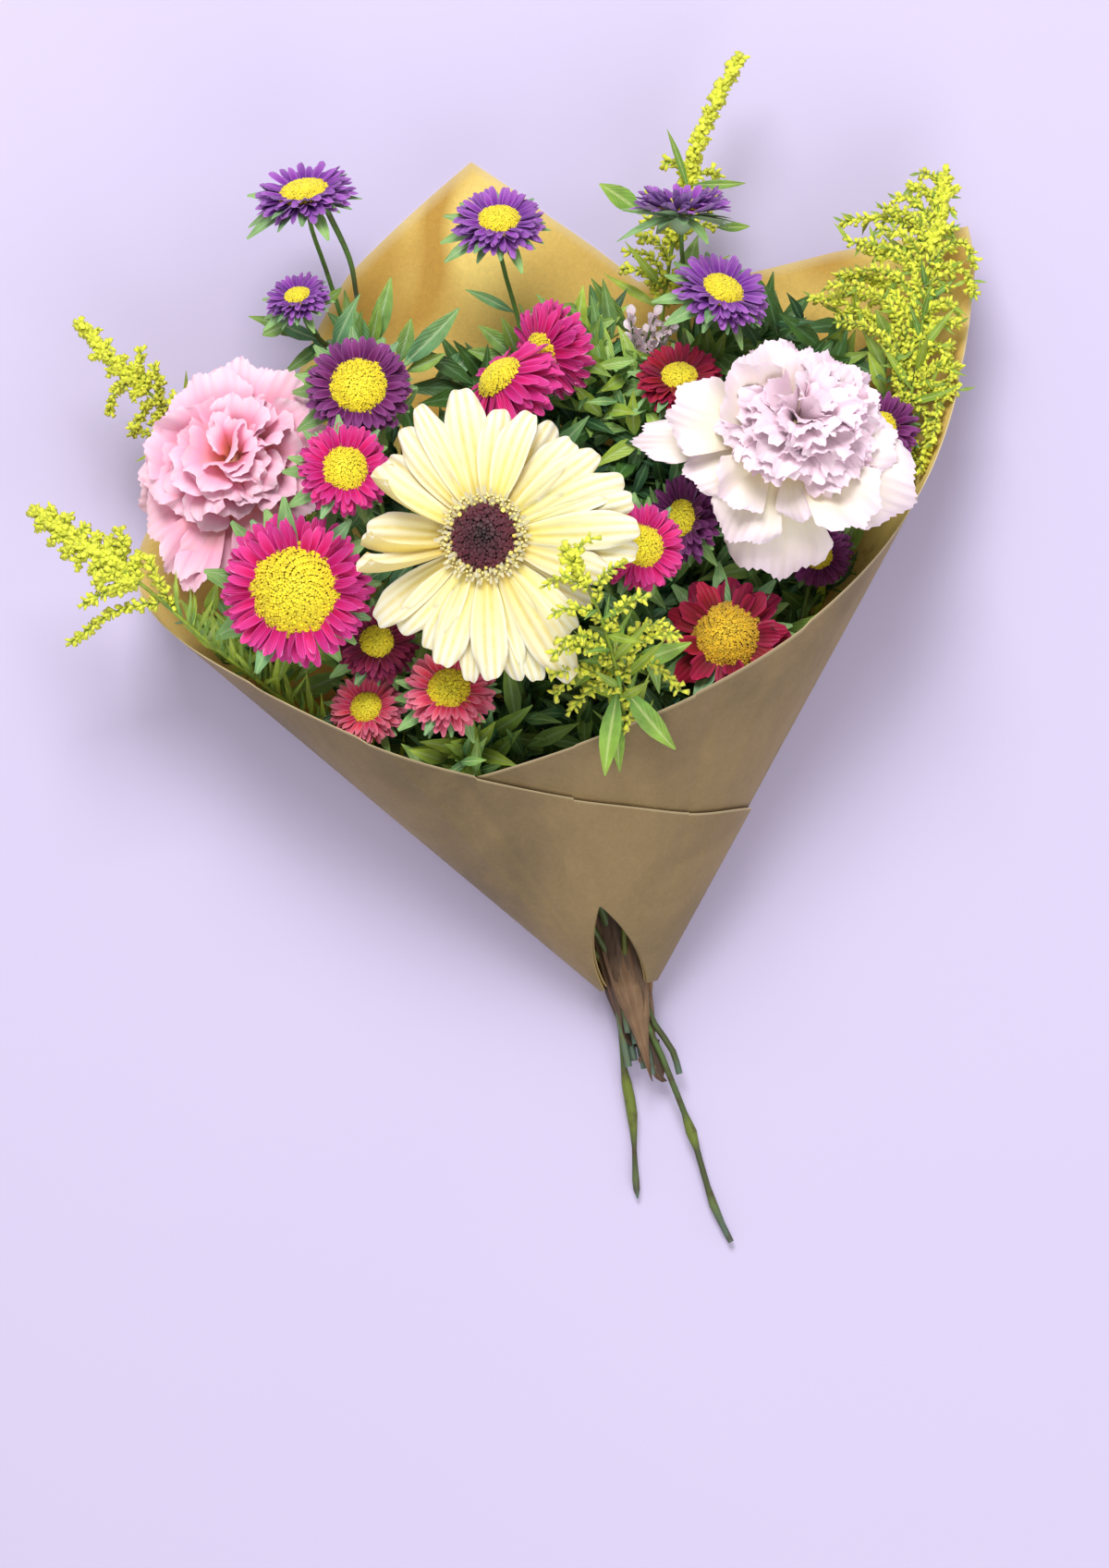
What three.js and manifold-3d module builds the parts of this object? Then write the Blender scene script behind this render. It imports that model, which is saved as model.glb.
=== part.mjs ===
// A mixed bunch of cut flowers in a cone of kraft paper, lying on its back with its front up.
// Millimetres, +Z up. The origin is on the table below the middle of the blooms. +Y runs towards
// the tips of the flowers and -Y towards the cut stems.

import * as THREE from 'three';
import Module from 'manifold-3d';

const wasm = await Module();
wasm.setup();
const { Manifold } = wasm;

const V = (x, y, z) => new THREE.Vector3(x, y, z);
const radians = THREE.MathUtils.degToRad;
const UP = V(0, 0, 1);
const GAP = 0.3; // between two pieces that touch

// ---------- Colours ----------

const VIOLET = 0x6b35a5;
const PLUM = 0x5a1f57;
const MAGENTA = 0xd5146e;
const CORAL = 0xd8506a;
const MAROON = 0x5a0f2e;
const CRIMSON = 0xa30f2d;
const FLORET_YELLOW = 0xe9ce1c;
const CREAM = 0xf6efc0;
const DARK_DISC = 0x3a0f1c;
const BLUSH = 0xf3e4ec;
const PINK = 0xf4a0b4;
const LEAF_GREEN = 0x4f8a4c;
const GOLDENROD = 0xb4c022;
const KRAFT = 0x9a8056;
const RUBBER = 0xb08d57;

// ---------- Driving dimensions: how places are given ----------

// A place is [across, down, height]: two pixels of a straight-down view, 1200 by 1697, and the
// height in millimetres over the table. What is higher is nearer the eye and looks larger.
const EYE_HEIGHT = 2500;
const PIXEL_SIZE = 0.385;
const VIEW_MIDDLE = { across: 600, down: 848.5 };
const ORIGIN_DOWN = 620;

// The cone and the bundle of stems share one line on the table. It starts where the cone's sides
// would meet and leans left of +Y.
const NECK_PLACE = [686, 1099, 0];
const LEAN = radians(10.8);

// ---------- Driving dimensions: blooms ----------

const RAY_THICKNESS = 0.8;
const LARGE_ASTER = 50; // from this diameter on, the rays have a pointed tip
const SMALL_ASTER = 30; // below this diameter, there are fewer rays
const ASTER_RAYS = { small: 10, other: 11 };

// An aster's two rings of rays: the hub, the reach past it and the way up, as shares of the bloom's
// radius and in millimetres, and how far the rays cup upwards, in degrees.
const ASTER_RINGS = [
  { hub: 0.5, reach: 0.5, height: 0, cup: -9 },
  { hub: 0.47, reach: 0.45, height: 1.8, cup: 12 },
];

// Sizes as shares of the aster's diameter. The calyx is the green cup under a bloom: how far its
// bracts and the notches between them reach, how far they hang below its top, and how deep it is.
const ASTER_DISC = { radius: 0.215, height: 0.1, slopes: [0, 34, 62], sides: 8, bump: 0.07 };
const ASTER_CALYX = { innerRadius: 0.13, bractReach: 0.27, shoulder: 0.045, depth: 0.19 };

// Asters and daisies: across is the diameter, tilt is from straight up, towards is a compass
// angle with 90 at +Y.
const ASTERS = [
  { name: 'aster_violet_tall', at: [330, 213, 75], across: 42, tilt: 60, towards: 100, colour: VIOLET },
  { name: 'aster_violet_small', at: [323, 325, 70], across: 26, tilt: 50, towards: 105, colour: VIOLET },
  { name: 'aster_violet_back', at: [540, 243, 62], across: 39, tilt: 46, towards: 90, colour: VIOLET },
  { name: 'aster_violet_edge', at: [737, 230, 80], across: 39, tilt: 75, towards: 90, colour: VIOLET },
  { name: 'aster_violet_right', at: [780, 318, 85], across: 41, tilt: 48, towards: 65, colour: VIOLET },
  { name: 'aster_plum_left', at: [388, 420, 90], across: 44, tilt: 15, towards: 90, colour: PLUM },
  { name: 'aster_magenta_left', at: [373, 509, 108], across: 39, tilt: 15, towards: 60, colour: MAGENTA },
  { name: 'aster_magenta_large', at: [320, 638, 102], across: 63, tilt: 10, towards: 230, colour: MAGENTA },
  { name: 'aster_magenta_side', at: [553, 425, 93], across: 40, tilt: 70, towards: 120, colour: MAGENTA },
  { name: 'aster_magenta_back', at: [606, 380, 70], across: 34, tilt: 40, towards: 60, colour: MAGENTA },
  { name: 'aster_coral_front', at: [487, 748, 95], across: 38, tilt: 25, towards: 100, colour: CORAL },
  { name: 'aster_coral_low', at: [398, 768, 72], across: 32, tilt: 25, towards: 120, colour: CORAL },
  { name: 'aster_maroon', at: [408, 697, 80], across: 34, tilt: 20, towards: 90, colour: MAROON },
  { name: 'aster_magenta_right', at: [693, 592, 108], across: 37, tilt: 20, towards: 15, colour: MAGENTA },
  { name: 'aster_plum_centre', at: [742, 562, 74], across: 38, tilt: 45, towards: 170, colour: PLUM },
  { name: 'aster_crimson_back', at: [735, 412, 74], across: 36, tilt: 40, towards: 90, colour: CRIMSON },
  { name: 'daisy_crimson', at: [787, 690, 74], across: 54, tilt: 15, towards: 100, colour: CRIMSON },
  { name: 'aster_plum_far_right', at: [952, 465, 52], across: 34, tilt: 30, towards: 100, colour: PLUM },
  { name: 'aster_plum_low', at: [885, 598, 60], across: 30, tilt: 30, towards: 270, colour: PLUM },
];

// The gerbera: two long rings of blunt rays, a short inner ring, and a dark disc.
const GERBERA = { name: 'gerbera', at: [525, 582, 126], across: 108, tilt: 8, towards: 150 };
const GERBERA_RAY_COUNT = 19;
const GERBERA_RINGS = [
  { hub: 0.34, reach: 0.66, halfWidth: 0.4, height: 0, cup: -4 },
  { hub: 0.31, reach: 0.6, halfWidth: 0.36, height: 1.9, cup: 5 },
  { hub: 0.26, reach: 0.2, halfWidth: 0.3, height: 3.8, cup: 16 },
];
const GERBERA_DISC = { radius: 13, height: 5.5, slopes: [0, 28, 52, 72], sides: 14, bump: 0.06 };
const GERBERA_CALYX = { innerRadius: 10, bractReach: 13.5, shoulder: 3, depth: 12 };

// Carnations: five rings of broad petals with a cut and waved edge. The outer ring droops and each
// ring above it stands steeper, up to the tuft in the middle.
const CARNATIONS = [
  {
    name: 'carnation_blush', at: [848, 482, 100], tilt: 40, towards: 80, colour: BLUSH, seed: 21,
    cups: [-22, 5, 30, 53, 74], reaches: [45, 37, 31, 25, 20],
  },
  {
    name: 'carnation_pink', at: [254, 515, 70], tilt: 18, towards: 150, colour: PINK, seed: 22,
    cups: [-28, 0, 27, 50, 73], reaches: [36, 32, 28, 24, 20],
  },
];
const PETAL_COUNT = 7;
const CARNATION_RING = { radius: 9, narrowing: 1.4, rise: 2.4 };
const CARNATION_WAVE = 0.055; // how far the edge waves, as a share of the petal's reach
const CARNATION_CALYX = { innerRadius: 4.8, bractReach: 6, shoulder: 0.9, depth: 19 };

// ---------- Driving dimensions: the paper ----------

// One sheet wound into a cone that overlaps at the front. Round the cone 0 is on the table, 90 is
// to the right and 180 is the front. The sheet starts inside at 232 and ends outside at -278.
const PAPER = {
  thickness: 0.8,
  halfWidthPerLength: 0.81,
  heightAtNeck: 12,
  heightPerLength: 0.83,
  flatAngle: 17, // what lies flat on the table, each side of 0
  roundness: 1.3,
  lap: 1.9, // how far the outer turn stands out from the inner one
  lapStart: 150,
  lapEnd: 360,
  mouth: 13,
  columnStep: 14,
};
const SLIT = { middle: 188, halfAngle: 50, top: 49, point: 1.5 };

// The open edge: [angle round the cone, length along it].
const RIM = [
  [232, 109], [210, 109], [182, 114], [152, 125], [124, 143], [90, 186], [70, 236], [60, 278],
  [55, 294.5], [36, 296], [26, 294.5], [14, 300], [6, 333], [0, 362], [-13, 325], [-25, 276],
  [-90, 191], [-109, 165], [-127, 129], [-150, 109], [-174, 92.5], [-214, 78], [-270, 76], [-278, 75],
];

// ---------- Driving dimensions: stems and leaves ----------

const BUNDLE_HEIGHT = 10.8;
const BUNDLE_END = 20; // from here on the stems part
const STEM_RADIUS = { bundle: 1.45, fork: 1.25, neck: 0.95 };
const STEM_STEP = 45;
const BRANCH_STEP = 35;
const STEM_SIDES = 5;
const RINGS = { centre: 0, inner: 3.45, outer: 6.5 };
const KNOT = 1.5; // how much thicker a carnation's stem is at a knot

const BAND = { from: 16, to: 19, innerRadius: 8.5, outerRadius: 9.4, sides: 12 };

// A leaf's half width, as a share of its width, at four places along its rib. The last is the tip.
const LEAF_THICKNESS = 0.8;
const LEAF_OUTLINE = [[0, 0.06], [0.35, 0.5], [0.7, 0.4], [1, 0]];
const LEAF = { spacing: 38, lean: 52, length: [28, 40], slimness: 0.27, droop: [0.08, 0.3], tries: 7 };
const LEAFY = { main: { from: 140, to: 20 }, branch: { from: 12, to: 16 } };
const GOLDEN_TURN = 137.5;
const LEAF_CLEARANCE = 0.5;

// Leaves on goldenrod are slimmer than the asters' leaves.
const GOLDENROD_LEAF = { length: [24, 34], slimness: 0.2 };

// The first bloom ends the main stem, and the others branch off at the fork. A bloom may have
// places that its branch goes through.
const SPRAYS = [
  {
    name: 'spray_back_left', slotAt: { ring: 'inner', angle: 252 }, tail: 9,
    fork: [400, 430, 42], blooms: { aster_violet_tall: [[352, 290, 50]], aster_violet_small: [] },
  },
  {
    name: 'spray_back_centre', slotAt: { ring: 'centre', angle: 0 }, tail: 22,
    fork: [600, 640, 36],
    blooms: { aster_violet_back: [[566, 370, 42]], aster_magenta_side: [], aster_magenta_back: [] },
  },
  {
    name: 'spray_back_right', slotAt: { ring: 'inner', angle: 324 }, tail: 14,
    fork: [735, 470, 42], blooms: { aster_violet_edge: [[742, 320, 56]], aster_violet_right: [] },
  },
  {
    name: 'spray_front_left', slotAt: { ring: 'inner', angle: 180 }, tail: 18,
    fork: [450, 790, 50],
    blooms: {
      aster_magenta_large: [[350, 700, 60]],
      aster_magenta_left: [[390, 620, 66]],
      aster_plum_left: [[415, 560, 58]],
    },
  },
  {
    name: 'spray_front', slotAt: { ring: 'outer', angle: 126 }, tail: 6,
    fork: [560, 880, 50], blooms: { aster_coral_front: [], aster_coral_low: [], aster_maroon: [] },
  },
  {
    name: 'spray_centre_right', slotAt: { ring: 'inner', angle: 36 }, tail: 25,
    fork: [695, 790, 50],
    blooms: { aster_magenta_right: [], aster_plum_centre: [], aster_crimson_back: [[722, 560, 50]] },
  },
  {
    name: 'spray_right', slotAt: { ring: 'outer', angle: 18 }, tail: [[735, 1162, 9], [728, 1138, 10]],
    fork: [745, 880, 40],
    blooms: { daisy_crimson: [], aster_plum_low: [[860, 690, 52]], aster_plum_far_right: [[910, 600, 40]] },
  },
];

const SINGLE_STEMS = [
  {
    name: 'gerbera_stem', bloom: 'gerbera', slotAt: { ring: 'inner', angle: 108 }, tail: 11,
    via: [[566, 760, 62]], radius: 2, sides: 8,
  },
  {
    name: 'carnation_blush_stem', bloom: 'carnation_blush', slotAt: { ring: 'outer', angle: 54 },
    tail: [[791, 1344, 3], [772, 1304, 4], [748, 1225, 7], [716, 1143, 13]],
    knots: [[772, 1304, 4], [748, 1225, 7]],
    via: [[765, 800, 40], [835, 650, 44]], sides: 6,
  },
  {
    name: 'carnation_pink_stem', bloom: 'carnation_pink', slotAt: { ring: 'outer', angle: 198 },
    tail: [[688, 1295, 3], [684, 1206, 5], [675, 1155, 7]], knots: [[684, 1206, 5]],
    via: [[420, 760, 36]], sides: 6,
  },
];

// ---------- Driving dimensions: goldenrod and statice ----------

// A chain of floret heads: where along it each ring is, and how thick it is there.
const FLORET_SIZE = 2.4;
const FLORET_CHAIN = [[0, 0.34], [0.34, 1], [0.54, 0.42], [0.78, 0.9], [1, 0.3]];
const FLORET_SIDES = 3;

// A side branch's middle and end: how far ahead and aside they lie, as shares of its length.
const SIDE_BRANCH = { middle: { ahead: 0.42, aside: 0.34 }, end: { ahead: 0.6, aside: 0.8 } };

const GOLDENRODS = [
  {
    name: 'goldenrod_top', slotAt: { ring: 'outer', angle: 270 }, tail: 17,
    ahead: [[690, 640, 14], [718, 330, 34], [742, 200, 40], [770, 120, 43], [800, 62, 45]],
    plume: { from: 0.2, count: 8, reach: [26, 10] }, leaves: { from: 250, to: 80 },
  },
  {
    name: 'goldenrod_right', slotAt: { ring: 'outer', angle: 342 }, tail: 8,
    ahead: [[870, 690, 30], [1000, 450, 46], [1012, 300, 46], [1022, 190, 44]],
    plume: { from: 0.08, count: 12, reach: [42, 14] }, leaves: { from: 210, to: 70 },
  },
  {
    name: 'goldenrod_left_upper', slotAt: { ring: 'outer', angle: 234 }, tail: 12,
    ahead: [[320, 590, 24], [188, 448, 43], [130, 400, 54], [88, 352, 60]],
    plume: { from: 0.15, count: 6, reach: [22, 9] }, leaves: { from: 180, to: 60 },
  },
  {
    name: 'goldenrod_left_lower', slotAt: { ring: 'outer', angle: 162 }, tail: 20,
    ahead: [[222, 692, 82], [150, 630, 86], [90, 590, 82], [38, 553, 75]],
    plume: { from: 0.1, count: 7, reach: [26, 9] }, leaves: { from: 225, to: 50 },
  },
  {
    name: 'goldenrod_front', slotAt: { ring: 'outer', angle: 90 }, tail: 7,
    ahead: [[680, 860, 77], [672, 750, 119], [645, 655, 150], [612, 595, 158]],
    plume: { from: 0.15, count: 8, reach: [24, 9] }, leaves: { from: 130, to: 40 },
  },
];

const STATICE = {
  slotAt: { ring: 'outer', angle: 306 }, tail: 4,
  ahead: [[690, 600, 24], [690, 420, 44], [708, 342, 58]],
  chains: [
    [[690, 420, 44], [697, 378, 52], [708, 342, 58]],
    [[693, 405, 47], [688, 375, 54], [682, 345, 60]],
    [[695, 395, 48], [716, 368, 56], [728, 345, 60]],
  ],
};

// ---------- Places ----------

function place([across, down, height]) {
  const scale = PIXEL_SIZE * (1 - height / EYE_HEIGHT);
  return V(
    (across - VIEW_MIDDLE.across) * scale,
    (VIEW_MIDDLE.down - down) * scale + (ORIGIN_DOWN - VIEW_MIDDLE.down) * PIXEL_SIZE,
    height,
  );
}

const NECK = place(NECK_PLACE);
const FORWARD = V(-Math.sin(LEAN), Math.cos(LEAN), 0);
const ACROSS = V(Math.cos(LEAN), Math.sin(LEAN), 0);

function inCone(along, lateral, height) {
  return NECK.clone().addScaledVector(FORWARD, along).addScaledVector(ACROSS, lateral).setZ(height);
}

// ---------- Solids from points and triangles ----------

function solidFrom(points, faces) {
  return new Manifold(new wasm.Mesh({
    numProp: 3,
    vertProperties: new Float32Array(points.flatMap((point) => point.toArray())),
    triVerts: new Uint32Array(faces.flat()),
  }));
}

function geometryFrom(points, faces) {
  return new THREE.BufferGeometry()
    .setAttribute('position', new THREE.Float32BufferAttribute(points.flatMap((p) => p.toArray()), 3))
    .setIndex(faces.flat());
}

function geometryOf(solid) {
  const { vertProperties, triVerts } = solid.getMesh();
  return new THREE.BufferGeometry()
    .setAttribute('position', new THREE.BufferAttribute(vertProperties, 3))
    .setIndex(new THREE.BufferAttribute(triVerts, 1));
}

function randomFrom(seed) {
  let state = seed;
  return (low, high) => {
    state = (state + 0x6d2b79f5) | 0;
    let mixed = Math.imul(state ^ (state >>> 15), 1 | state);
    mixed = (mixed + Math.imul(mixed ^ (mixed >>> 7), 61 | mixed)) ^ mixed;
    return low + ((high - low) * ((mixed ^ (mixed >>> 14)) >>> 0)) / 4294967296;
  };
}

// A closed tube through the points, with a radius at each. It may end in the calyx of a bloom: a
// star of bracts, one over each side of the tube, under the middle of the bloom.
function tube(points, radii, sides, calyx = null) {
  const last = points.length - 1;
  const rings = [];
  let right = null;
  let over = null;
  const around = (centre, radius, turn) => rings.push(centre.clone()
    .addScaledVector(right, radius * Math.cos(turn))
    .addScaledVector(over, radius * Math.sin(turn)));
  points.forEach((point, i) => {
    const ahead = i === last && calyx
      ? calyx.facing
      : points[Math.min(i + 1, last)].clone().sub(points[Math.max(i - 1, 0)]).normalize();
    right ??= V(0, 0, 0).crossVectors(ahead, Math.abs(ahead.z) < 0.9 ? UP : FORWARD);
    right.addScaledVector(ahead, -right.dot(ahead)).normalize();
    over = V(0, 0, 0).crossVectors(ahead, right);
    for (let k = 0; k < sides; k++) around(point, radii[i], (2 * Math.PI * k) / sides);
  });
  const faces = [];
  for (let i = 0; i < last; i++) {
    for (let k = 0; k < sides; k++) {
      const a = i * sides + k;
      const b = i * sides + ((k + 1) % sides);
      faces.push([a, b, a + sides], [b, b + sides, a + sides]);
    }
  }
  for (let k = 1; k < sides - 1; k++) faces.push([0, k + 1, k]);
  const foot = last * sides;
  if (!calyx) {
    for (let k = 1; k < sides - 1; k++) faces.push([foot, foot + k, foot + k + 1]);
    return solidFrom(rings, faces);
  }
  const star = rings.length;
  const starCount = 2 * sides;
  for (let k = 0; k < starCount; k++) {
    const isBract = k % 2 === 0;
    const below = calyx.shoulder * (isBract ? 1.5 : 1);
    const centre = calyx.top.clone().addScaledVector(calyx.facing, -below);
    around(centre, isBract ? calyx.bractReach : calyx.innerRadius, (Math.PI * k) / sides);
  }
  const top = rings.push(calyx.top.clone()) - 1;
  for (let k = 0; k < starCount; k++) faces.push([top, star + k, star + ((k + 1) % starCount)]);
  for (let k = 0; k < sides; k++) {
    const bract = star + 2 * k;
    const nextBract = star + ((2 * k + 2) % starCount);
    const nextFoot = foot + ((k + 1) % sides);
    faces.push([foot + k, nextFoot, bract + 1], [foot + k, bract + 1, bract]);
    faces.push([nextFoot, nextBract, bract + 1]);
  }
  return solidFrom(rings, faces);
}

// The place and heading at a distance along straight pieces between points.
function walk(points, distance) {
  let left = distance;
  for (let i = 1; i < points.length; i++) {
    const step = points[i].distanceTo(points[i - 1]);
    const ahead = points[i].clone().sub(points[i - 1]).normalize();
    if (left <= step || i === points.length - 1) {
      return { point: points[i - 1].clone().addScaledVector(ahead, left), ahead };
    }
    left -= step;
  }
}

const lengthOf = (points) => points.slice(1).reduce((sum, point, i) => sum + point.distanceTo(points[i]), 0);

// Points along a smooth curve through the places, leaving and arriving in the given directions.
function route(places, leave, arrive, spacing) {
  const last = places.length - 1;
  const heading = places.map((point, i) => {
    if (i === 0) return leave;
    if (i === last) return arrive;
    return places[i + 1].clone().sub(places[i - 1]).normalize();
  });
  const points = [places[0]];
  for (let i = 0; i < last; i++) {
    const length = places[i].distanceTo(places[i + 1]);
    const curve = new THREE.CubicBezierCurve3(
      places[i],
      places[i].clone().addScaledVector(heading[i], length / 3),
      places[i + 1].clone().addScaledVector(heading[i + 1], -length / 3),
      places[i + 1],
    );
    const steps = Math.ceil(length / spacing);
    points.push(...curve.getPoints(steps).slice(1, -1), places[i + 1]);
  }
  return points;
}

// A thin plate with the same triangles on both faces. The outline runs anticlockwise from above.
function plate(tops, bottoms, triangles) {
  const count = tops.length;
  const faces = triangles.flatMap(([a, b, c]) => [[a, b, c], [a + count, c + count, b + count]]);
  for (let j = 0; j < count; j++) {
    const next = (j + 1) % count;
    faces.push([j + count, next + count, next], [j + count, next, j]);
  }
  return solidFrom([...tops, ...bottoms], faces);
}

// An arched leaf, thin and pointed, with its rib bent down towards the tip.
const LEAF_TRIANGLES = [[6, 0, 1], [6, 1, 5], [5, 1, 2], [5, 2, 4], [4, 2, 3]];

function leaf({ root, heading, length, width, droop }) {
  const face = UP.clone().addScaledVector(heading, -UP.dot(heading)).normalize();
  const right = V(0, 0, 0).crossVectors(heading, face);
  const rib = ([at]) => root.clone()
    .addScaledVector(heading, at * length)
    .addScaledVector(face, -droop * length * at * at);
  const edge = (side) => LEAF_OUTLINE.slice(0, 3)
    .map((section) => rib(section).addScaledVector(right, side * section[1] * width));
  const outline = [...edge(1), rib(LEAF_OUTLINE[3]), ...edge(-1).reverse()];
  const raised = (by) => outline.map((point) => point.clone().addScaledVector(face, by));
  return plate(raised(LEAF_THICKNESS / 2), raised(-LEAF_THICKNESS / 2), LEAF_TRIANGLES);
}

// ---------- Blooms from points and triangles, facing +Z at the origin ----------

// Rings of petals one over the other, joined at the middle into one closed surface. Each petal's
// rim is a list of [place in the pitch, reach, lift] between two notches on the ring, and each
// ring is turned half a pitch from the one below.
function rosette(count, thickness, layers) {
  const points = [];
  const faces = [];
  const pitch = (2 * Math.PI) / count;
  let notchesBelow = null;
  layers.forEach(({ ringRadius, ringHeight, cup, petal }, level) => {
    const steep = Math.sin(radians(cup));
    const flat = Math.cos(radians(cup));
    const start = points.length;
    const outline = [];
    for (let i = 0; i < count; i++) {
      const middle = (i + level / 2) * pitch;
      outline.push([middle - pitch / 2, 0, 0]);
      petal(i).forEach(([offset, reach, lift]) => outline.push([middle + offset * pitch, reach, lift]));
    }
    const total = outline.length;
    const step = total / count;
    for (const side of [0.5, -0.5]) {
      for (const [angle, reach, lift] of outline) {
        const raise = lift + side * thickness;
        const radius = ringRadius + flat * reach - steep * raise;
        const height = ringHeight + steep * reach + flat * raise;
        points.push(V(radius * Math.cos(angle), radius * Math.sin(angle), height));
      }
    }
    const both = (a, b, c) => faces.push(
      [start + a, start + b, start + c],
      [start + total + a, start + total + c, start + total + b],
    );
    const middlePoint = Math.ceil((step - 1) / 2);
    for (let i = 0; i < count; i++) {
      const notch = i * step;
      const next = ((i + 1) % count) * step;
      for (let j = 1; j < middlePoint; j++) both(notch, notch + j, notch + j + 1);
      both(notch, notch + middlePoint, next);
      for (let j = middlePoint; j < step - 1; j++) both(notch + j, notch + j + 1, next);
    }
    for (let j = 0; j < total; j++) {
      const top = start + j;
      const topNext = start + ((j + 1) % total);
      faces.push([top + total, topNext + total, topNext], [top + total, topNext, top]);
    }
    const topNotches = Array.from({ length: count }, (_, i) => start + i * step);
    const bottomNotches = topNotches.map((notch) => notch + total);
    for (let i = 0; i < count; i++) {
      const next = (i + 1) % count;
      if (notchesBelow) {
        faces.push([notchesBelow[i], notchesBelow[next], bottomNotches[i]]);
        faces.push([notchesBelow[next], bottomNotches[next], bottomNotches[i]]);
      }
    }
    const fan = (notches, height, facing) => {
      const centre = points.push(V(0, 0, height)) - 1;
      notches.forEach((notch, i) => {
        const next = notches[(i + 1) % count];
        faces.push(facing > 0 ? [centre, notch, next] : [centre, next, notch]);
      });
    };
    if (level === 0) fan(bottomNotches, points[bottomNotches[0]].z, -1);
    if (level === layers.length - 1) fan(topNotches, points[topNotches[0]].z, 1);
    notchesBelow = topNotches;
  });
  return { points, faces };
}

// A disc of tight florets: a dome whose rings stand up and down by turns, on a flat base.
function floretDome({ radius, height, slopes, sides, bump }, scale) {
  const points = [V(0, 0, 0)];
  slopes.forEach((slope, ring) => {
    for (let k = 0; k < sides; k++) {
      const turn = (2 * Math.PI * (k + (ring % 2) / 2)) / sides;
      const stand = ring === 0 ? 1 : 1 + bump * (k % 2 ? 1 : -1);
      const out = scale * radius * Math.cos(radians(slope)) * stand;
      const up = scale * height * Math.sin(radians(slope)) * stand;
      points.push(V(out * Math.cos(turn), out * Math.sin(turn), up));
    }
  });
  const top = points.push(V(0, 0, scale * height * 0.92)) - 1;
  const faces = [];
  for (let k = 0; k < sides; k++) {
    const next = (k + 1) % sides;
    faces.push([0, 1 + next, 1 + k]);
    for (let ring = 0; ring < slopes.length - 1; ring++) {
      const low = 1 + ring * sides;
      const high = low + sides;
      faces.push(ring % 2 === 0
        ? [low + k, low + next, high + k]
        : [low + k, low + next, high + next]);
      faces.push(ring % 2 === 0
        ? [low + next, high + next, high + k]
        : [low + k, high + next, high + k]);
    }
    faces.push([top - sides + k, top - sides + next, top]);
  }
  return { points, faces };
}

// ---------- Blooms ----------

const facing = ({ tilt, towards }) => V(
  Math.sin(radians(tilt)) * Math.cos(radians(towards)),
  Math.sin(radians(tilt)) * Math.sin(radians(towards)),
  Math.cos(radians(tilt)),
);

// A bloom's frame: its middle at its place, its face along its own direction.
function bloomGroup(bloom, spin) {
  const group = new THREE.Group();
  group.position.copy(place(bloom.at));
  group.quaternion
    .setFromUnitVectors(UP, facing(bloom))
    .multiply(new THREE.Quaternion().setFromAxisAngle(UP, radians(spin)));
  return group;
}

function addMesh(group, name, geometry, color, roughness = 0.75) {
  const mesh = new THREE.Mesh(geometry, new THREE.MeshStandardMaterial({ color, roughness, metalness: 0 }));
  mesh.name = name;
  group.add(mesh);
  return mesh;
}

// Two rings of narrow rays round a hub that is half as wide as the bloom.
function asterRays({ across }, random) {
  const radius = across / 2;
  const ray = (length) => () => {
    const reach = length * random(0.93, 1);
    const left = [-0.4 + random(-0.04, 0.04), reach * 0.95, 0];
    const right = [0.4 + random(-0.04, 0.04), reach * 0.95, 0];
    return across > LARGE_ASTER ? [left, [0, reach * 1.06, 0], right] : [left, right];
  };
  const layers = ASTER_RINGS.map(({ hub, reach, height, cup }) => (
    { ringRadius: radius * hub, ringHeight: height, cup, petal: ray(radius * reach) }));
  return rosette(across < SMALL_ASTER ? ASTER_RAYS.small : ASTER_RAYS.other, RAY_THICKNESS, layers);
}

const discHeight = (rings) => rings.at(-1).height + RAY_THICKNESS / 2 + GAP;

function asterCalyx({ across }) {
  return Object.fromEntries(Object.entries(ASTER_CALYX).map(([size, share]) => [size, share * across]));
}

const part = new THREE.Group();
const blooms = new Map();

// What a stem needs to know of the bloom that it carries.
function carry(bloom, calyx) {
  const normal = facing(bloom);
  const top = place(bloom.at).addScaledVector(normal, -RAY_THICKNESS / 2 - GAP);
  const foot = top.clone().addScaledVector(normal, -calyx.depth);
  blooms.set(bloom.name, { foot, calyx: { ...calyx, facing: normal, top } });
}

ASTERS.forEach((bloom, i) => {
  const random = randomFrom(101 + i);
  const group = bloomGroup(bloom, random(0, 30));
  const rays = asterRays(bloom, random);
  addMesh(group, `${bloom.name}_rays`, geometryFrom(rays.points, rays.faces), bloom.colour);
  const disc = floretDome(ASTER_DISC, bloom.across);
  addMesh(group, `${bloom.name}_disc`, geometryFrom(disc.points, disc.faces), FLORET_YELLOW)
    .position.z = discHeight(ASTER_RINGS);
  part.add(group);
  carry(bloom, asterCalyx(bloom));
});

function gerberaRays() {
  const random = randomFrom(7);
  const radius = GERBERA.across / 2;
  const ray = (length, width) => () => {
    const reach = length * random(0.92, 1);
    const sway = random(-0.05, 0.05);
    return [
      [sway - width, reach * 0.93, random(-0.6, 0.2)],
      [sway, reach * 1.02, random(-0.4, 0.6)],
      [sway + width, reach * 0.93, random(-0.6, 0.2)],
    ];
  };
  const layers = GERBERA_RINGS.map(({ hub, reach, halfWidth, height, cup }) => (
    { ringRadius: radius * hub, ringHeight: height, cup, petal: ray(radius * reach, halfWidth) }));
  return rosette(GERBERA_RAY_COUNT, RAY_THICKNESS, layers);
}

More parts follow.
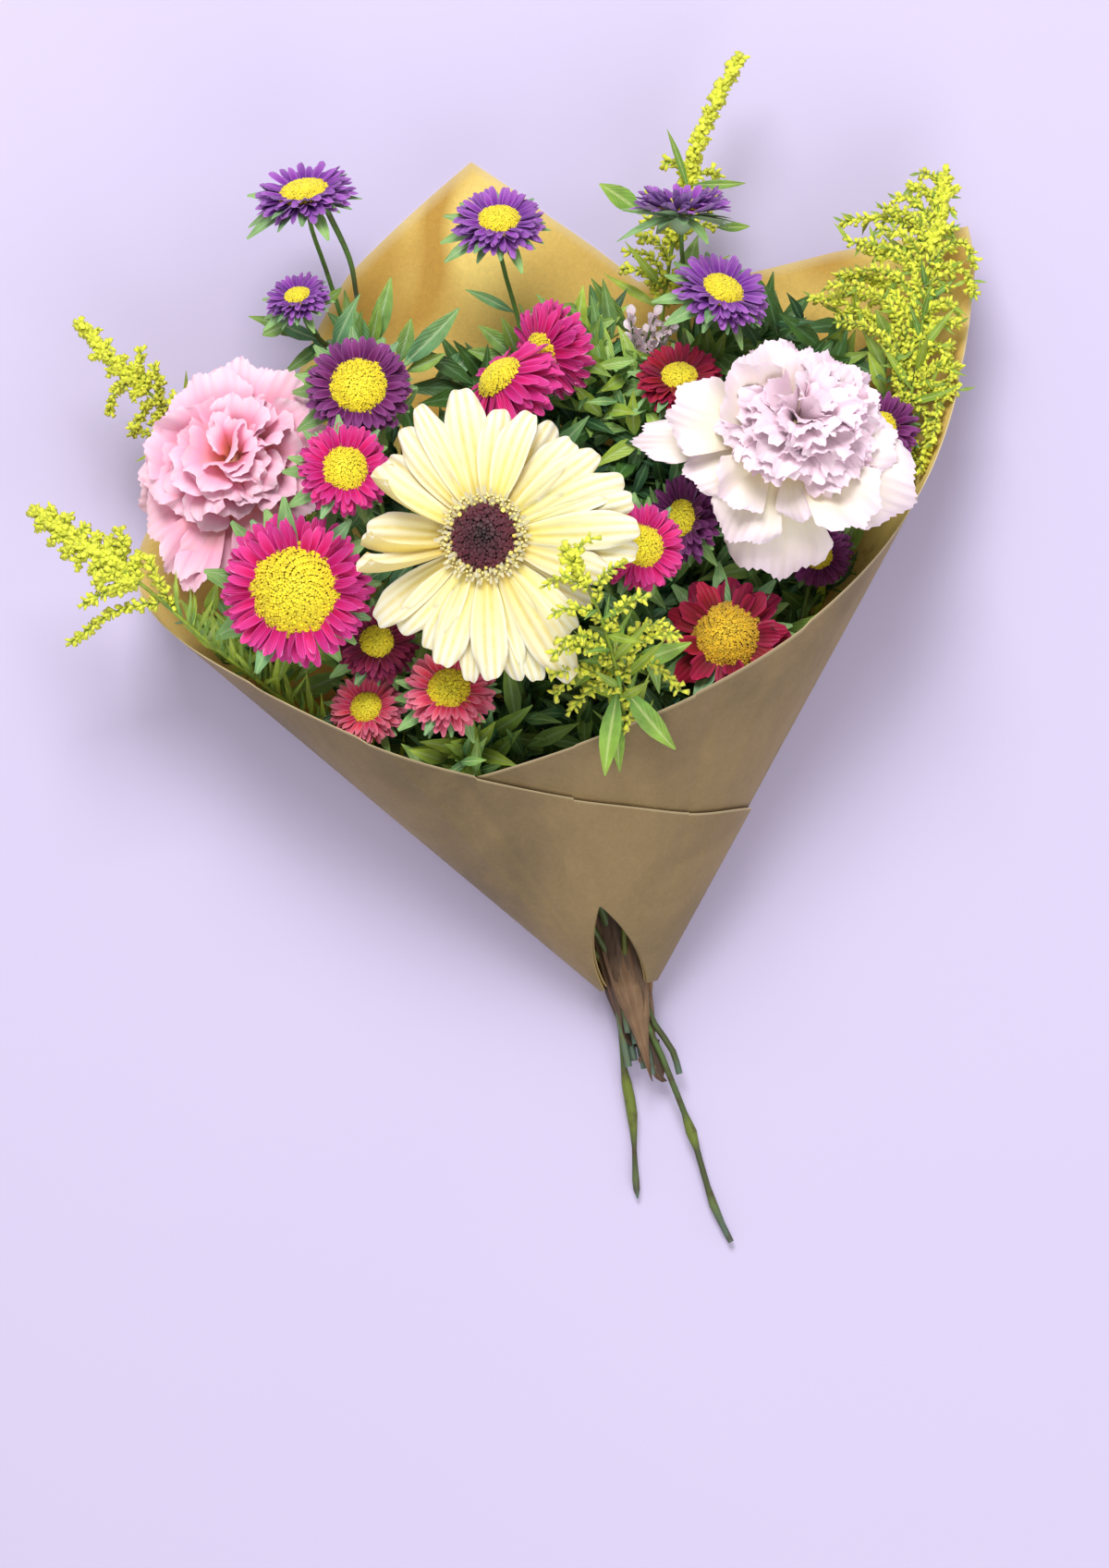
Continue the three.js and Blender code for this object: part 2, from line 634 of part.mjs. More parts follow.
const gerberaGroup = bloomGroup(GERBERA, 4);
const gerberaRaySurface = gerberaRays();
addMesh(gerberaGroup, 'gerbera_rays', geometryFrom(gerberaRaySurface.points, gerberaRaySurface.faces), CREAM);
const gerberaDisc = floretDome(GERBERA_DISC, 1);
addMesh(gerberaGroup, 'gerbera_disc', geometryFrom(gerberaDisc.points, gerberaDisc.faces), DARK_DISC)
  .position.z = discHeight(GERBERA_RINGS);
part.add(gerberaGroup);
carry(GERBERA, GERBERA_CALYX);

function carnationPetals({ cups, reaches, seed }) {
  const random = randomFrom(seed);
  const petal = (reach) => () => {
    const wave = reach * CARNATION_WAVE * (random(0, 1) < 0.5 ? -1 : 1);
    return [
      [-0.45, reach * random(0.84, 0.92), 0],
      [-0.23, reach * random(0.97, 1.02), wave],
      [0, reach * random(0.86, 0.92), -wave],
      [0.23, reach * random(0.97, 1.02), wave],
      [0.45, reach * random(0.84, 0.92), 0],
    ];
  };
  return rosette(PETAL_COUNT, RAY_THICKNESS, cups.map((cup, level) => ({
    ringRadius: CARNATION_RING.radius - CARNATION_RING.narrowing * level,
    ringHeight: CARNATION_RING.rise * level,
    cup,
    petal: petal(reaches[level]),
  })));
}

CARNATIONS.forEach((bloom) => {
  const group = bloomGroup(bloom, 10);
  const petals = carnationPetals(bloom);
  addMesh(group, `${bloom.name}_petals`, geometryFrom(petals.points, petals.faces), bloom.colour);
  part.add(group);
  carry(bloom, CARNATION_CALYX);
});

part.updateMatrixWorld(true);

// ---------- The paper ----------

// How high the sheet stands at an angle, from 0 on the table to 1 at the front.
function rise(angle) {
  const turned = (1 - Math.cos(radians(angle))) / 2;
  const flat = (1 - Math.cos(radians(PAPER.flatAngle))) / 2;
  return Math.max(0, (turned - flat) / (1 - flat)) ** PAPER.roundness;
}

function paperPoint(angle, along, inside) {
  const wound = (RIM[0][0] - angle - PAPER.lapStart) / (PAPER.lapEnd - PAPER.lapStart);
  const lap = PAPER.lap * THREE.MathUtils.clamp(wound, 0, 1);
  const inset = inside ? PAPER.thickness : 0;
  const halfWidth = PAPER.halfWidthPerLength * along + lap - inset;
  const height = PAPER.heightAtNeck + PAPER.heightPerLength * along + 1.2 * lap - 2 * inset;
  return inCone(along, halfWidth * Math.sin(radians(angle)), inset + height * rise(angle));
}

// The lower edge rises to a pointed arch at the front, where the stems show.
function lowerEdge(angle) {
  const off = Math.abs(THREE.MathUtils.euclideanModulo(angle - SLIT.middle + 180, 360) - 180);
  const arch = Math.max(0, 1 - off / SLIT.halfAngle) ** SLIT.point;
  return PAPER.mouth + (SLIT.top - PAPER.mouth) * arch;
}

function paperWrap() {
  const columns = RIM.slice(1).flatMap(([angle, along], i) => {
    const [startAngle, startAlong] = RIM[i];
    const steps = Math.ceil((startAngle - angle) / PAPER.columnStep);
    return Array.from({ length: steps }, (_, k) => [
      THREE.MathUtils.lerp(startAngle, angle, (k + 1) / steps),
      THREE.MathUtils.lerp(startAlong, along, (k + 1) / steps),
    ]);
  });
  columns.unshift(RIM[0]);
  const count = columns.length;
  const edges = [[false, true], [false, false], [true, true], [true, false]]
    .map(([inside, low]) => columns.map(([angle, along]) => (
      paperPoint(angle, low ? lowerEdge(angle) : along, inside))));
  const [outLow, outHigh, inLow, inHigh] = [0, 1, 2, 3].map((edge) => edge * count);
  const faces = [];
  const quad = (a, b, c, d) => faces.push([a, b, c], [a, c, d]);
  for (let i = 0; i < count - 1; i++) {
    const j = i + 1;
    quad(outLow + i, outLow + j, outHigh + j, outHigh + i);
    quad(inLow + j, inLow + i, inHigh + i, inHigh + j);
    quad(outHigh + i, outHigh + j, inHigh + j, inHigh + i);
    quad(outLow + j, outLow + i, inLow + i, inLow + j);
  }
  const end = count - 1;
  quad(inLow, outLow, outHigh, inHigh);
  quad(outLow + end, inLow + end, inHigh + end, outHigh + end);
  return { points: edges.flat(), faces };
}

const paper = paperWrap();
addMesh(part, 'paper_wrap', geometryFrom(paper.points, paper.faces), KRAFT, 0.9);

// ---------- The bundle of stems ----------

function slot({ ring, angle }, along) {
  const out = RINGS[ring];
  return inCone(along, out * Math.cos(radians(angle)), BUNDLE_HEIGHT + out * Math.sin(radians(angle)));
}

// A stem from its cut end through the bundle, on through the places and up into a bloom or a tip.
function mainStem({ slotAt, tail, ahead, arrive, spacing = STEM_STEP }) {
  const start = slot(slotAt, BUNDLE_END);
  const cutEnd = typeof tail === 'number' ? [slot(slotAt, -tail)] : tail.map(place);
  const beyond = cutEnd.length === 1 ? cutEnd : route(
    [...cutEnd, slot(slotAt, 2)], cutEnd[1].clone().sub(cutEnd[0]).normalize(), FORWARD, spacing);
  const leave = ahead[0].clone().sub(start).normalize().lerp(FORWARD, 0.3).normalize();
  return [...beyond, ...route([start, ...ahead], leave, arrive, spacing)];
}

const taper = (points, start, end) => points.map((_, i) => (
  THREE.MathUtils.lerp(start, end, i / (points.length - 1))));

// ---------- Keeping leaves clear ----------

const solidOfMesh = (mesh) => {
  mesh.updateWorldMatrix(true, false);
  const position = mesh.geometry.getAttribute('position');
  const points = Array.from({ length: position.count }, (_, i) => (
    V(0, 0, 0).fromBufferAttribute(position, i).applyMatrix4(mesh.matrixWorld)));
  const index = Array.from(mesh.geometry.index.array);
  const faces = Array.from({ length: index.length / 3 }, (_, i) => index.slice(3 * i, 3 * i + 3));
  return solidFrom(points, faces);
};

const placed = [];
part.traverse((object) => {
  if (object.isMesh) placed.push(solidOfMesh(object));
});

function boxesNear(a, b, gap) {
  const one = a.boundingBox();
  const two = b.boundingBox();
  return [0, 1, 2].every((k) => one.min[k] - gap < two.max[k] && two.min[k] - gap < one.max[k]);
}

const isClear = (solid, others) => others.every((other) => (
  !boxesNear(solid, other, LEAF_CLEARANCE) || solid.minGap(other, LEAF_CLEARANCE) >= LEAF_CLEARANCE));

// ---------- Leafy sprays of asters ----------

// Leaves up a stem, each turned from the last. One that would meet something turns on, and is
// left out if no turn is clear.
function leavesAlong(piece, random, others) {
  const { points, from, to, length = LEAF.length, slimness = LEAF.slimness } = piece;
  const leaves = [];
  const end = lengthOf(points) - to;
  let turn = random(0, 360);
  for (let due = from; due < end; due += LEAF.spacing) {
    const { point, ahead } = walk(points, due);
    const size = random(...length);
    const droop = random(...LEAF.droop);
    for (let attempt = 0; attempt < LEAF.tries; attempt++) {
      const side = V(0, 0, 0).crossVectors(ahead, UP).normalize().applyAxisAngle(ahead, radians(turn));
      const heading = ahead.clone().multiplyScalar(Math.cos(radians(LEAF.lean)))
        .addScaledVector(side, Math.sin(radians(LEAF.lean)));
      const made = leaf({ root: point, heading, length: size, width: size * slimness, droop });
      if (made.boundingBox().min[2] > LEAF_CLEARANCE && isClear(made, [...others, ...leaves])) {
        leaves.push(made);
        break;
      }
      turn += 360 / LEAF.tries;
    }
    turn += GOLDEN_TURN;
  }
  return leaves;
}

// Every stem is laid before any leaf, so that each leaf can be kept clear of all of them.
const stems = [];

SPRAYS.forEach((spray) => {
  const fork = place(spray.fork);
  const [main, ...others] = Object.entries(spray.blooms).map(([name, via]) => {
    const { foot, calyx } = blooms.get(name);
    return { ahead: [...via.map(place), foot], calyx };
  });
  const mainPoints = mainStem({ ...spray, ahead: [fork, ...main.ahead], arrive: main.calyx.facing });
  const forkIndex = mainPoints.indexOf(fork);
  const beforeFork = fork.clone().sub(mainPoints[forkIndex - 1]).normalize();
  const branches = others.map(({ ahead, calyx }) => ({
    points: route([fork, ...ahead], beforeFork, calyx.facing, BRANCH_STEP), calyx,
  }));
  stems.push({
    name: spray.name,
    colour: LEAF_GREEN,
    solids: [
      tube(mainPoints, taper(mainPoints, STEM_RADIUS.bundle, STEM_RADIUS.neck), STEM_SIDES, main.calyx),
      ...branches.map(({ points, calyx }) => (
        tube(points, taper(points, STEM_RADIUS.fork, STEM_RADIUS.neck), STEM_SIDES, calyx))),
    ],
    leafy: [
      { points: mainPoints, ...LEAFY.main },
      ...branches.map(({ points }) => ({ points, ...LEAFY.branch })),
    ],
  });
});

// ---------- Single stems ----------

SINGLE_STEMS.forEach(({ name, bloom, slotAt, tail, via, sides, knots = [], radius = STEM_RADIUS.fork }) => {
  const { foot, calyx } = blooms.get(bloom);
  const points = mainStem({ slotAt, tail, ahead: [...via.map(place), foot], arrive: calyx.facing });
  const knotPlaces = knots.map(place);
  const radii = points.map((point, i) => {
    const plain = i < points.length / 3 ? STEM_RADIUS.bundle : radius;
    return knotPlaces.some((knot) => knot.distanceTo(point) < 0.01) ? plain * KNOT : plain;
  });
  stems.push({ name, colour: LEAF_GREEN, solids: [tube(points, radii, sides, calyx)], leafy: [] });
});

// ---------- Goldenrod ----------

function floretChain(points, size) {
  const curve = new THREE.CatmullRomCurve3(points);
  return tube(
    FLORET_CHAIN.map(([at]) => curve.getPoint(at)),
    FLORET_CHAIN.map(([, thickness]) => thickness * size),
    FLORET_SIDES,
  );
}

// Side branches of florets up the end of a stem, left and right by turns, that curve outwards.
function plume(points, { from, count, reach }, random) {
  const total = lengthOf(points);
  return Array.from({ length: count }, (_, k) => {
    const along = (k + 0.4) / count;
    const { point: root, ahead } = walk(points, total * THREE.MathUtils.lerp(from, 1, along));
    const side = V(0, 0, 0).crossVectors(ahead, UP).normalize().multiplyScalar(k % 2 ? 1 : -1);
    side.addScaledVector(UP, random(-0.1, 0.35)).normalize();
    const length = THREE.MathUtils.lerp(...reach, along) * random(0.85, 1.15);
    const [middle, end] = [SIDE_BRANCH.middle, SIDE_BRANCH.end].map((at) => root.clone()
      .addScaledVector(ahead, length * at.ahead)
      .addScaledVector(side, length * at.aside));
    return floretChain([root, middle, end], FLORET_SIZE * random(0.85, 1.1));
  });
}

GOLDENRODS.forEach((spray, i) => {
  const places = spray.ahead.map(place);
  const arrive = places.at(-1).clone().sub(places.at(-2)).normalize();
  const points = mainStem({ ...spray, ahead: places, arrive });
  const plumePoints = points.slice(points.indexOf(places[1]));
  stems.push({
    name: spray.name,
    colour: GOLDENROD,
    solids: [
      tube(points, taper(points, STEM_RADIUS.bundle, STEM_RADIUS.neck), STEM_SIDES),
      ...plume(plumePoints, spray.plume, randomFrom(301 + i)),
    ],
    leafy: [{ points, ...spray.leaves, ...GOLDENROD_LEAF }],
  });
});

// ---------- Statice ----------

const staticePlaces = STATICE.ahead.map(place);
const staticeEnd = staticePlaces.at(-1).clone().sub(staticePlaces.at(-2)).normalize();
const staticePoints = mainStem({ ...STATICE, ahead: staticePlaces, arrive: staticeEnd });
stems.push({
  name: 'statice',
  colour: BLUSH,
  solids: [
    tube(staticePoints, taper(staticePoints, STEM_RADIUS.bundle, STEM_RADIUS.neck), STEM_SIDES),
    ...STATICE.chains.map((chain) => floretChain(chain.map(place), FLORET_SIZE)),
  ],
  leafy: [],
});

// ---------- Leaves, and one solid for each stem with all that grows on it ----------

stems.forEach(({ name, colour, solids, leafy }, i) => {
  const random = randomFrom(501 + i);
  const leaves = leafy.flatMap((piece, k) => {
    const others = stems.flatMap((stem) => stem.solids.filter((solid) => solid !== solids[k]));
    return leavesAlong(piece, random, [...placed, ...others]);
  });
  solids.push(...leaves);
  addMesh(part, name, geometryOf(Manifold.union(solids)), colour);
});

// ---------- The rubber band ----------

const bandGeometry = new THREE.LatheGeometry([
  new THREE.Vector2(BAND.innerRadius, BAND.from),
  new THREE.Vector2(BAND.outerRadius, BAND.from),
  new THREE.Vector2(BAND.outerRadius, BAND.to),
  new THREE.Vector2(BAND.innerRadius, BAND.to),
  new THREE.Vector2(BAND.innerRadius, BAND.from),
], BAND.sides);
const band = addMesh(part, 'rubber_band', bandGeometry, RUBBER, 0.6);
band.position.copy(inCone(0, 0, BUNDLE_HEIGHT));
band.quaternion.setFromUnitVectors(V(0, 1, 0), FORWARD);

export default part;
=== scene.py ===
"""A mixed bunch of cut flowers in a cone of kraft paper, lying on its back with its front up.

Every place is [across, down, height]: two pixels of a straight-down view, 1200 by 1697, and the
height in millimetres over the table. Sizes are in millimetres and become metres in the meshes.
"""

import logging
import math
from abc import ABC, abstractmethod
from collections.abc import Sequence
from dataclasses import dataclass, field
from enum import Enum
from functools import cache, partial

import bmesh
import bpy
import numpy as np
from mathutils import Matrix, Vector, geometry, noise


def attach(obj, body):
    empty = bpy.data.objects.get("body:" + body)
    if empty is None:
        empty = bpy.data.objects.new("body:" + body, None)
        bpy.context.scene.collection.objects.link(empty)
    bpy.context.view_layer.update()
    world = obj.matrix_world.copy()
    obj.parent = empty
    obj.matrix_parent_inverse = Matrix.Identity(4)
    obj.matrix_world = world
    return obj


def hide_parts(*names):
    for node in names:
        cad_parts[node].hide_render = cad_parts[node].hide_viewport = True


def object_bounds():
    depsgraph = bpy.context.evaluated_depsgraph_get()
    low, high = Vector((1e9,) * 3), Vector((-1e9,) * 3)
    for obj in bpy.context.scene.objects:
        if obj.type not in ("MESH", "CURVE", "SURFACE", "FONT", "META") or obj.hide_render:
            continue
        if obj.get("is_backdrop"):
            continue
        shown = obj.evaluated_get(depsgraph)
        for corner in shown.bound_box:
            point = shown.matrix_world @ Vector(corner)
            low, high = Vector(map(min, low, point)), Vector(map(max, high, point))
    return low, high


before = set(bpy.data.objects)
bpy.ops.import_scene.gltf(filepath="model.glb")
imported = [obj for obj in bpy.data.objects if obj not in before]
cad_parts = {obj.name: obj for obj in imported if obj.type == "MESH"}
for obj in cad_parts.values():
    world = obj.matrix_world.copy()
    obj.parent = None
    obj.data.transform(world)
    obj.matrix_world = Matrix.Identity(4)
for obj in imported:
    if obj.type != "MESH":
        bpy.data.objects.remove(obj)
CAD_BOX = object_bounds()

LOG = logging.getLogger("bouquet")
MM = 0.001
GOLDEN_TURN = math.radians(137.508)
UP = Vector((0, 0, 1))

Place = tuple[float, float, float]
Profile = tuple[tuple[float, float], ...]
Path = Sequence[Vector]
Socket = bpy.types.NodeSocket


# ---------- Nodes ----------

ALIGN = "FunctionNodeAlignRotationToVector"
ATTRIBUTE = "ShaderNodeAttribute"
BUMP = "ShaderNodeBump"
EULER = "FunctionNodeEulerToRotation"
HUE = "ShaderNodeHueSaturation"
MATH = "ShaderNodeMath"
MIX = "ShaderNodeMix"
NAMED = "GeometryNodeInputNamedAttribute"
NOISE = "ShaderNodeTexNoise"
POINTS = "GeometryNodePoints"
RANDOM = "FunctionNodeRandomValue"
RANGE = "ShaderNodeMapRange"
STORE = "GeometryNodeStoreNamedAttribute"
TO_CURVE = "GeometryNodeMeshToCurve"
TURN = "FunctionNodeRotateRotation"
VECTOR_TURN = "ShaderNodeVectorRotate"
XYZ = "ShaderNodeCombineXYZ"
PETAL_SAYS = ("turn", "cup", "roll", "reach", "spread", "pick")


def add_node(
    tree: bpy.types.NodeTree, kind: str, *values: object, out: str = "", **named: object
) -> Socket | None:
    """Adds a node with its settings, values and links.

    Args:
        tree: the tree that gets the node.
        kind: the node's type.
        *values: for each input in use, in order, a value, a socket to link, or None to leave it.
        out: the wanted output's name, if it isn't the first one in use.
        **named: the node's settings, in lower case, and inputs, by name with _ for a space.

    Returns:
        The wanted output.
    """
    node = tree.nodes.new(kind)
    for name in [name for name in named if name.islower()]:
        setattr(node, name, named.pop(name))
    pairs = list(zip((socket for socket in node.inputs if socket.enabled), values))
    pairs += [(node.inputs[name.replace("_", " ")], value) for name, value in named.items()]
    for socket, value in pairs:
        if isinstance(value, Socket):
            tree.links.new(value, socket)
        elif value is not None:
            socket.default_value = value
    return node.outputs[out] if out else next((socket for socket in node.outputs if socket.enabled), None)


def linear(colour: str) -> tuple[float, float, float, float]:
    """Turns an sRGB colour, as six hex digits, to linear red, green, blue and alpha.

    Args:
        colour: the six hex digits.

    Returns:
        The four linear shares.
    """
    shares = [int(colour[i : i + 2], 16) / 255 for i in (0, 2, 4)]
    red, green, blue = (s / 12.92 if s <= 0.04045 else ((s + 0.055) / 1.055) ** 2.4 for s in shares)
    return red, green, blue, 1.0


class GrowingRule:
    """A Geometry Nodes tree with named inputs, which is grown once for each piece."""

    def __init__(self, name: str, **sizes: str) -> None:
        """Makes the tree.

        Args:
            name: the tree's name.
            **sizes: for each kind of socket, its inputs' names with commas between them.
        """
        self.tree = bpy.data.node_groups.new(name, "GeometryNodeTree")
        sockets = self.tree.interface
        sockets.new_socket("Geometry", in_out="OUTPUT", socket_type="NodeSocketGeometry")
        self.sockets = {
            size: sockets.new_socket(size, in_out="INPUT", socket_type=f"NodeSocket{kind}")
            for kind, names in {"Geometry": "Geometry", **sizes, "Material": "Material"}.items()
            for size in names.split(", ")
        }
        self.inlet = self.tree.nodes.new("NodeGroupInput")
        self.index = self.add("GeometryNodeInputIndex")

    def add(self, kind: str, *values: object, **named: object) -> Socket | None:
        """Adds a node to the tree, as add_node does."""
        return add_node(self.tree, kind, *values, **named)

    def get(self, name: str) -> Socket:
        """The socket that gives an input's value."""
        return self.inlet.outputs[name]

    def jitter(self, reach: str, step: int) -> Socket:
        """Draws a number for each thing that is set.

        Args:
            reach: the input that says how far it may be from 0, either way.
            step: added to the seed, so that no two draws are alike.

        Returns:
            The number's socket.
        """
        seed = self.add(MATH, self.get("Seed"), float(step), operation="ADD")
        low = self.add(MATH, self.get(reach), -1.0, operation="MULTIPLY")
        return self.add(RANDOM, low, self.get(reach), self.index, seed)

    def plant(self, points: Socket, rotation: Socket, size: Socket, pick: Socket | None = None,
              ring: Socket | None = None) -> None:  # fmt: skip
        """Sets a variant on each point, tints each one by itself and ends the tree.

        Args:
            points: where they are set.
            rotation: how each is turned.
            size: how large each is.
            pick: which variant each is, if they don't follow one another.
            ring: how far out each is, if that changes its colour.
        """
        variants = self.add("GeometryNodeCollectionInfo", self.get("Variants"), True, True)
        shape = self.add("GeometryNodeInstanceOnPoints", points, None, variants, True, pick, rotation, size)
        if ring:
            shape = self.add(STORE, shape, None, "ring", ring, domain="INSTANCE")
        tint = self.add(RANDOM, 0.0, 1.0, self.index, self.get("Seed"))
        self.finish(self.add(STORE, shape, None, "tint", tint, domain="INSTANCE"))

    def finish(self, shape: Socket) -> None:
        """Ends the tree in real faces that carry its material."""
        smooth = self.add("GeometryNodeSetShadeSmooth", self.add("GeometryNodeRealizeInstances", shape))
        self.add("NodeGroupOutput", self.add("GeometryNodeSetMaterial", smooth, None, self.get("Material")))

    def grow(self, base: bpy.types.Mesh | None = None, **sizes: object) -> bpy.types.Mesh:
        """Grows the rule once.

        Args:
            base: the mesh that it grows on, such as stems.
            **sizes: a value for each input, by its name with _ for a space.

        Returns:
            A plain mesh.
        """
        carrier = bpy.data.objects.new(self.tree.name, base or bpy.data.meshes.new(self.tree.name))
        bpy.context.scene.collection.objects.link(carrier)
        modifier = carrier.modifiers.new(self.tree.name, "NODES")
        modifier.node_group = self.tree
        for name, value in sizes.items():
            modifier[self.sockets[name.replace("_", " ")].identifier] = value
        depsgraph = bpy.context.evaluated_depsgraph_get()
        shape = bpy.data.meshes.new_from_object(
            carrier.evaluated_get(depsgraph), preserve_all_data_layers=True, depsgraph=depsgraph
        )
        bpy.data.objects.remove(carrier)
        return shape


def petal_rings_rule() -> GrowingRule:
    """The rule that sets petals in rings round a middle, the inner rings higher and steeper.

    Returns:
        The rule.
    """
    rule = GrowingRule(
        "petal_rings", Collection="Variants", Int="Count, Rings, Seed",
        Float="Outer Radius, Inner Radius, Top, Outer Cup, Inner Cup, Inner Size, Sway, Lift, Roll, Thrift",
    )  # fmt: skip
    add, get, jitter = rule.add, rule.get, rule.jitter
    per_ring = add(MATH, get("Count"), get("Rings"), operation="DIVIDE")
    turns = add(MATH, rule.index, per_ring, operation="DIVIDE")
    ring = add(MATH, turns, operation="FLOOR")
    last = add(MATH, get("Rings"), 1.0, operation="SUBTRACT")
    share = add(MATH, ring, add(MATH, last, 1.0, operation="MAXIMUM"), operation="DIVIDE")
    sway = add(MATH, ring, 0.5, jitter("Sway", 1), operation="MULTIPLY_ADD")
    turns = add(MATH, turns, add(MATH, sway, per_ring, operation="DIVIDE"), operation="ADD")
    angle = add(MATH, turns, math.tau, operation="MULTIPLY")
    radius = add(MIX, share, get("Outer Radius"), get("Inner Radius"), clamp_factor=False)
    height = add(MATH, share, get("Top"), operation="MULTIPLY")
    cup = add(MIX, share, get("Outer Cup"), get("Inner Cup"), clamp_factor=False)
    cup = add(MATH, cup, jitter("Lift", 2), operation="ADD")
    down = add(MATH, cup, -1.0, operation="MULTIPLY")
    size = add(MIX, share, 1.0, get("Inner Size"), clamp_factor=False)
    spare = add(MATH, jitter("Thrift", 3), 1.0, operation="ADD")
    size = add(MATH, size, spare, operation="MULTIPLY")
    place = add(VECTOR_TURN, add(XYZ, radius, None, height), None, angle, rotation_type="Z_AXIS")
    rotation = add(EULER, add(XYZ, jitter("Roll", 4), down, angle))
    rule.plant(add(POINTS, get("Count"), place), rotation, size, ring=share)
    return rule


def placed_petals_rule() -> GrowingRule:
    """The rule that sets a petal on each point, turned, cupped, rolled and sized as the point says.

    Returns:
        The rule.
    """
    rule = GrowingRule("placed_petals", Collection="Variants", Int="Seed")
    add = rule.add
    turn, cup, roll, reach, spread, pick = (add(NAMED, name) for name in PETAL_SAYS)
    down = add(MATH, cup, -1.0, operation="MULTIPLY")
    rotation = add(EULER, add(XYZ, roll, down, turn))
    rule.plant(rule.get("Geometry"), rotation, add(XYZ, reach, spread, spread), pick)
    return rule


def floret_dome_rule() -> GrowingRule:
    """The rule that packs florets in a spiral over a dome, from its middle or from an inner radius.

    Returns:
        The rule.
    """
    rule = GrowingRule(
        "floret_dome", Collection="Variants", Int="Count, Seed",
        Float="Inner Radius, Radius, Height, Lean, Middle Size, Edge Size, Spin",
    )  # fmt: skip
    add, get = rule.add, rule.get
    nth = add(MATH, rule.index, 0.5, operation="ADD")
    area = add(MATH, nth, get("Count"), operation="DIVIDE")
    share = add(MATH, area, 0.5, operation="POWER")
    radius = add(MIX, share, get("Inner Radius"), get("Radius"))
    rise = add(MATH, 1.0, add(MATH, area, 1.6, operation="POWER"), operation="SUBTRACT")
    height = add(MATH, rise, get("Height"), operation="MULTIPLY")
    angle = add(MATH, rule.index, GOLDEN_TURN, operation="MULTIPLY")
    place = add(VECTOR_TURN, add(XYZ, radius, None, height), None, angle, rotation_type="Z_AXIS")
    lean = add(MATH, share, get("Lean"), operation="MULTIPLY")
    wobble = add(RANDOM, -0.25, 0.25, rule.index, get("Seed"))
    spun = add(EULER, add(XYZ, None, None, rule.jitter("Spin", 0)))
    rotation = add(TURN, add(EULER, add(XYZ, wobble, lean, angle)), spun, rotation_space="LOCAL")
    size = add(MIX, share, get("Middle Size"), get("Edge Size"))
    size = add(MATH, size, add(RANDOM, 0.8, 1.15, rule.index, get("Count")), operation="MULTIPLY")
    rule.plant(add(POINTS, get("Count"), place), rotation, size, ring=share)
    return rule


def along_stems_rule() -> GrowingRule:
    """The rule that sets leaves or florets along stems, each a golden turn on from the last.

    Returns:
        The rule.
    """
    rule = GrowingRule(
        "along_stems", Collection="Variants", Int="Seed", Float="Spacing, Raise, Ruffle, Low Size, High Size"
    )
    add, get, jitter = rule.add, rule.get, rule.jitter
    points = add("GeometryNodeCurveToPoints", add(TO_CURVE, get("Geometry")), get("Spacing"), mode="LENGTH")
    spin = add(MATH, rule.index, GOLDEN_TURN, jitter("Ruffle", 1), operation="MULTIPLY_ADD")
    lift = add(MATH, get("Raise"), jitter("Ruffle", 2), operation="ADD")
    down = add(MATH, lift, -1.0, operation="MULTIPLY")
    ahead = add(ALIGN, Vector=points.node.outputs["Tangent"], axis="Z")
    out = add(TURN, ahead, add(EULER, add(XYZ, None, down, spin)), rotation_space="LOCAL")
    heading = add("FunctionNodeRotateVector", (1.0, 0.0, 0.0), out)
    level = add(ALIGN, add(ALIGN, Vector=heading, axis="X"), Vector=(0.0, 0.0, 1.0), axis="Z", pivot_axis="X")
    rotation = add(TURN, level, add(EULER, add(XYZ, jitter("Ruffle", 3))), rotation_space="LOCAL")
    size = add(RANDOM, get("Low Size"), get("High Size"), rule.index, get("Seed"))
    pick = add(RANDOM, 0, 100, rule.index, get("Seed"), data_type="INT")
    rule.plant(points, rotation, size, pick)
    return rule


def stems_rule() -> GrowingRule:
    """The rule that gives paths a round section, as thick as the radius stored at each point.

    Returns:
        The rule.
    """
    rule = GrowingRule("stems", Int="Sides")
    add, get = rule.add, rule.get
    section = add("GeometryNodeCurvePrimitiveCircle", get("Sides"), 1.0)
    curves = add(TO_CURVE, get("Geometry"))
    rule.finish(add("GeometryNodeCurveToMesh", curves, section, add(NAMED, "radius"), True))
    return rule


# ---------- Meshes ----------


def store(
    mesh: bpy.types.Mesh, name: str, values: Sequence, domain: str = "POINT", kind: str = "FLOAT"
) -> None:
    """Stores a number for each point or face, or a truth for each edge, under a name."""
    data = np.asarray(values, np.float32 if kind == "FLOAT" else bool)
    mesh.attributes.new(name, kind, domain).data.foreach_set("value", data)


def mesh_of(name: str, points: np.ndarray, faces: Sequence, **values: Sequence) -> bpy.types.Mesh:
    """Makes a mesh from points in millimetres.

    Args:
        name: the mesh's name.
        points: one row for each point.
        faces: point numbers of each face, anticlockwise from outside.
        **values: a number for each point, by attribute name.

    Returns:
        The mesh, in metres.
    """
    mesh = bpy.data.meshes.new(name)
    mesh.from_pydata((np.asarray(points) * MM).tolist(), [], faces)
    for attribute, numbers in values.items():
        store(mesh, attribute, numbers)
    return mesh


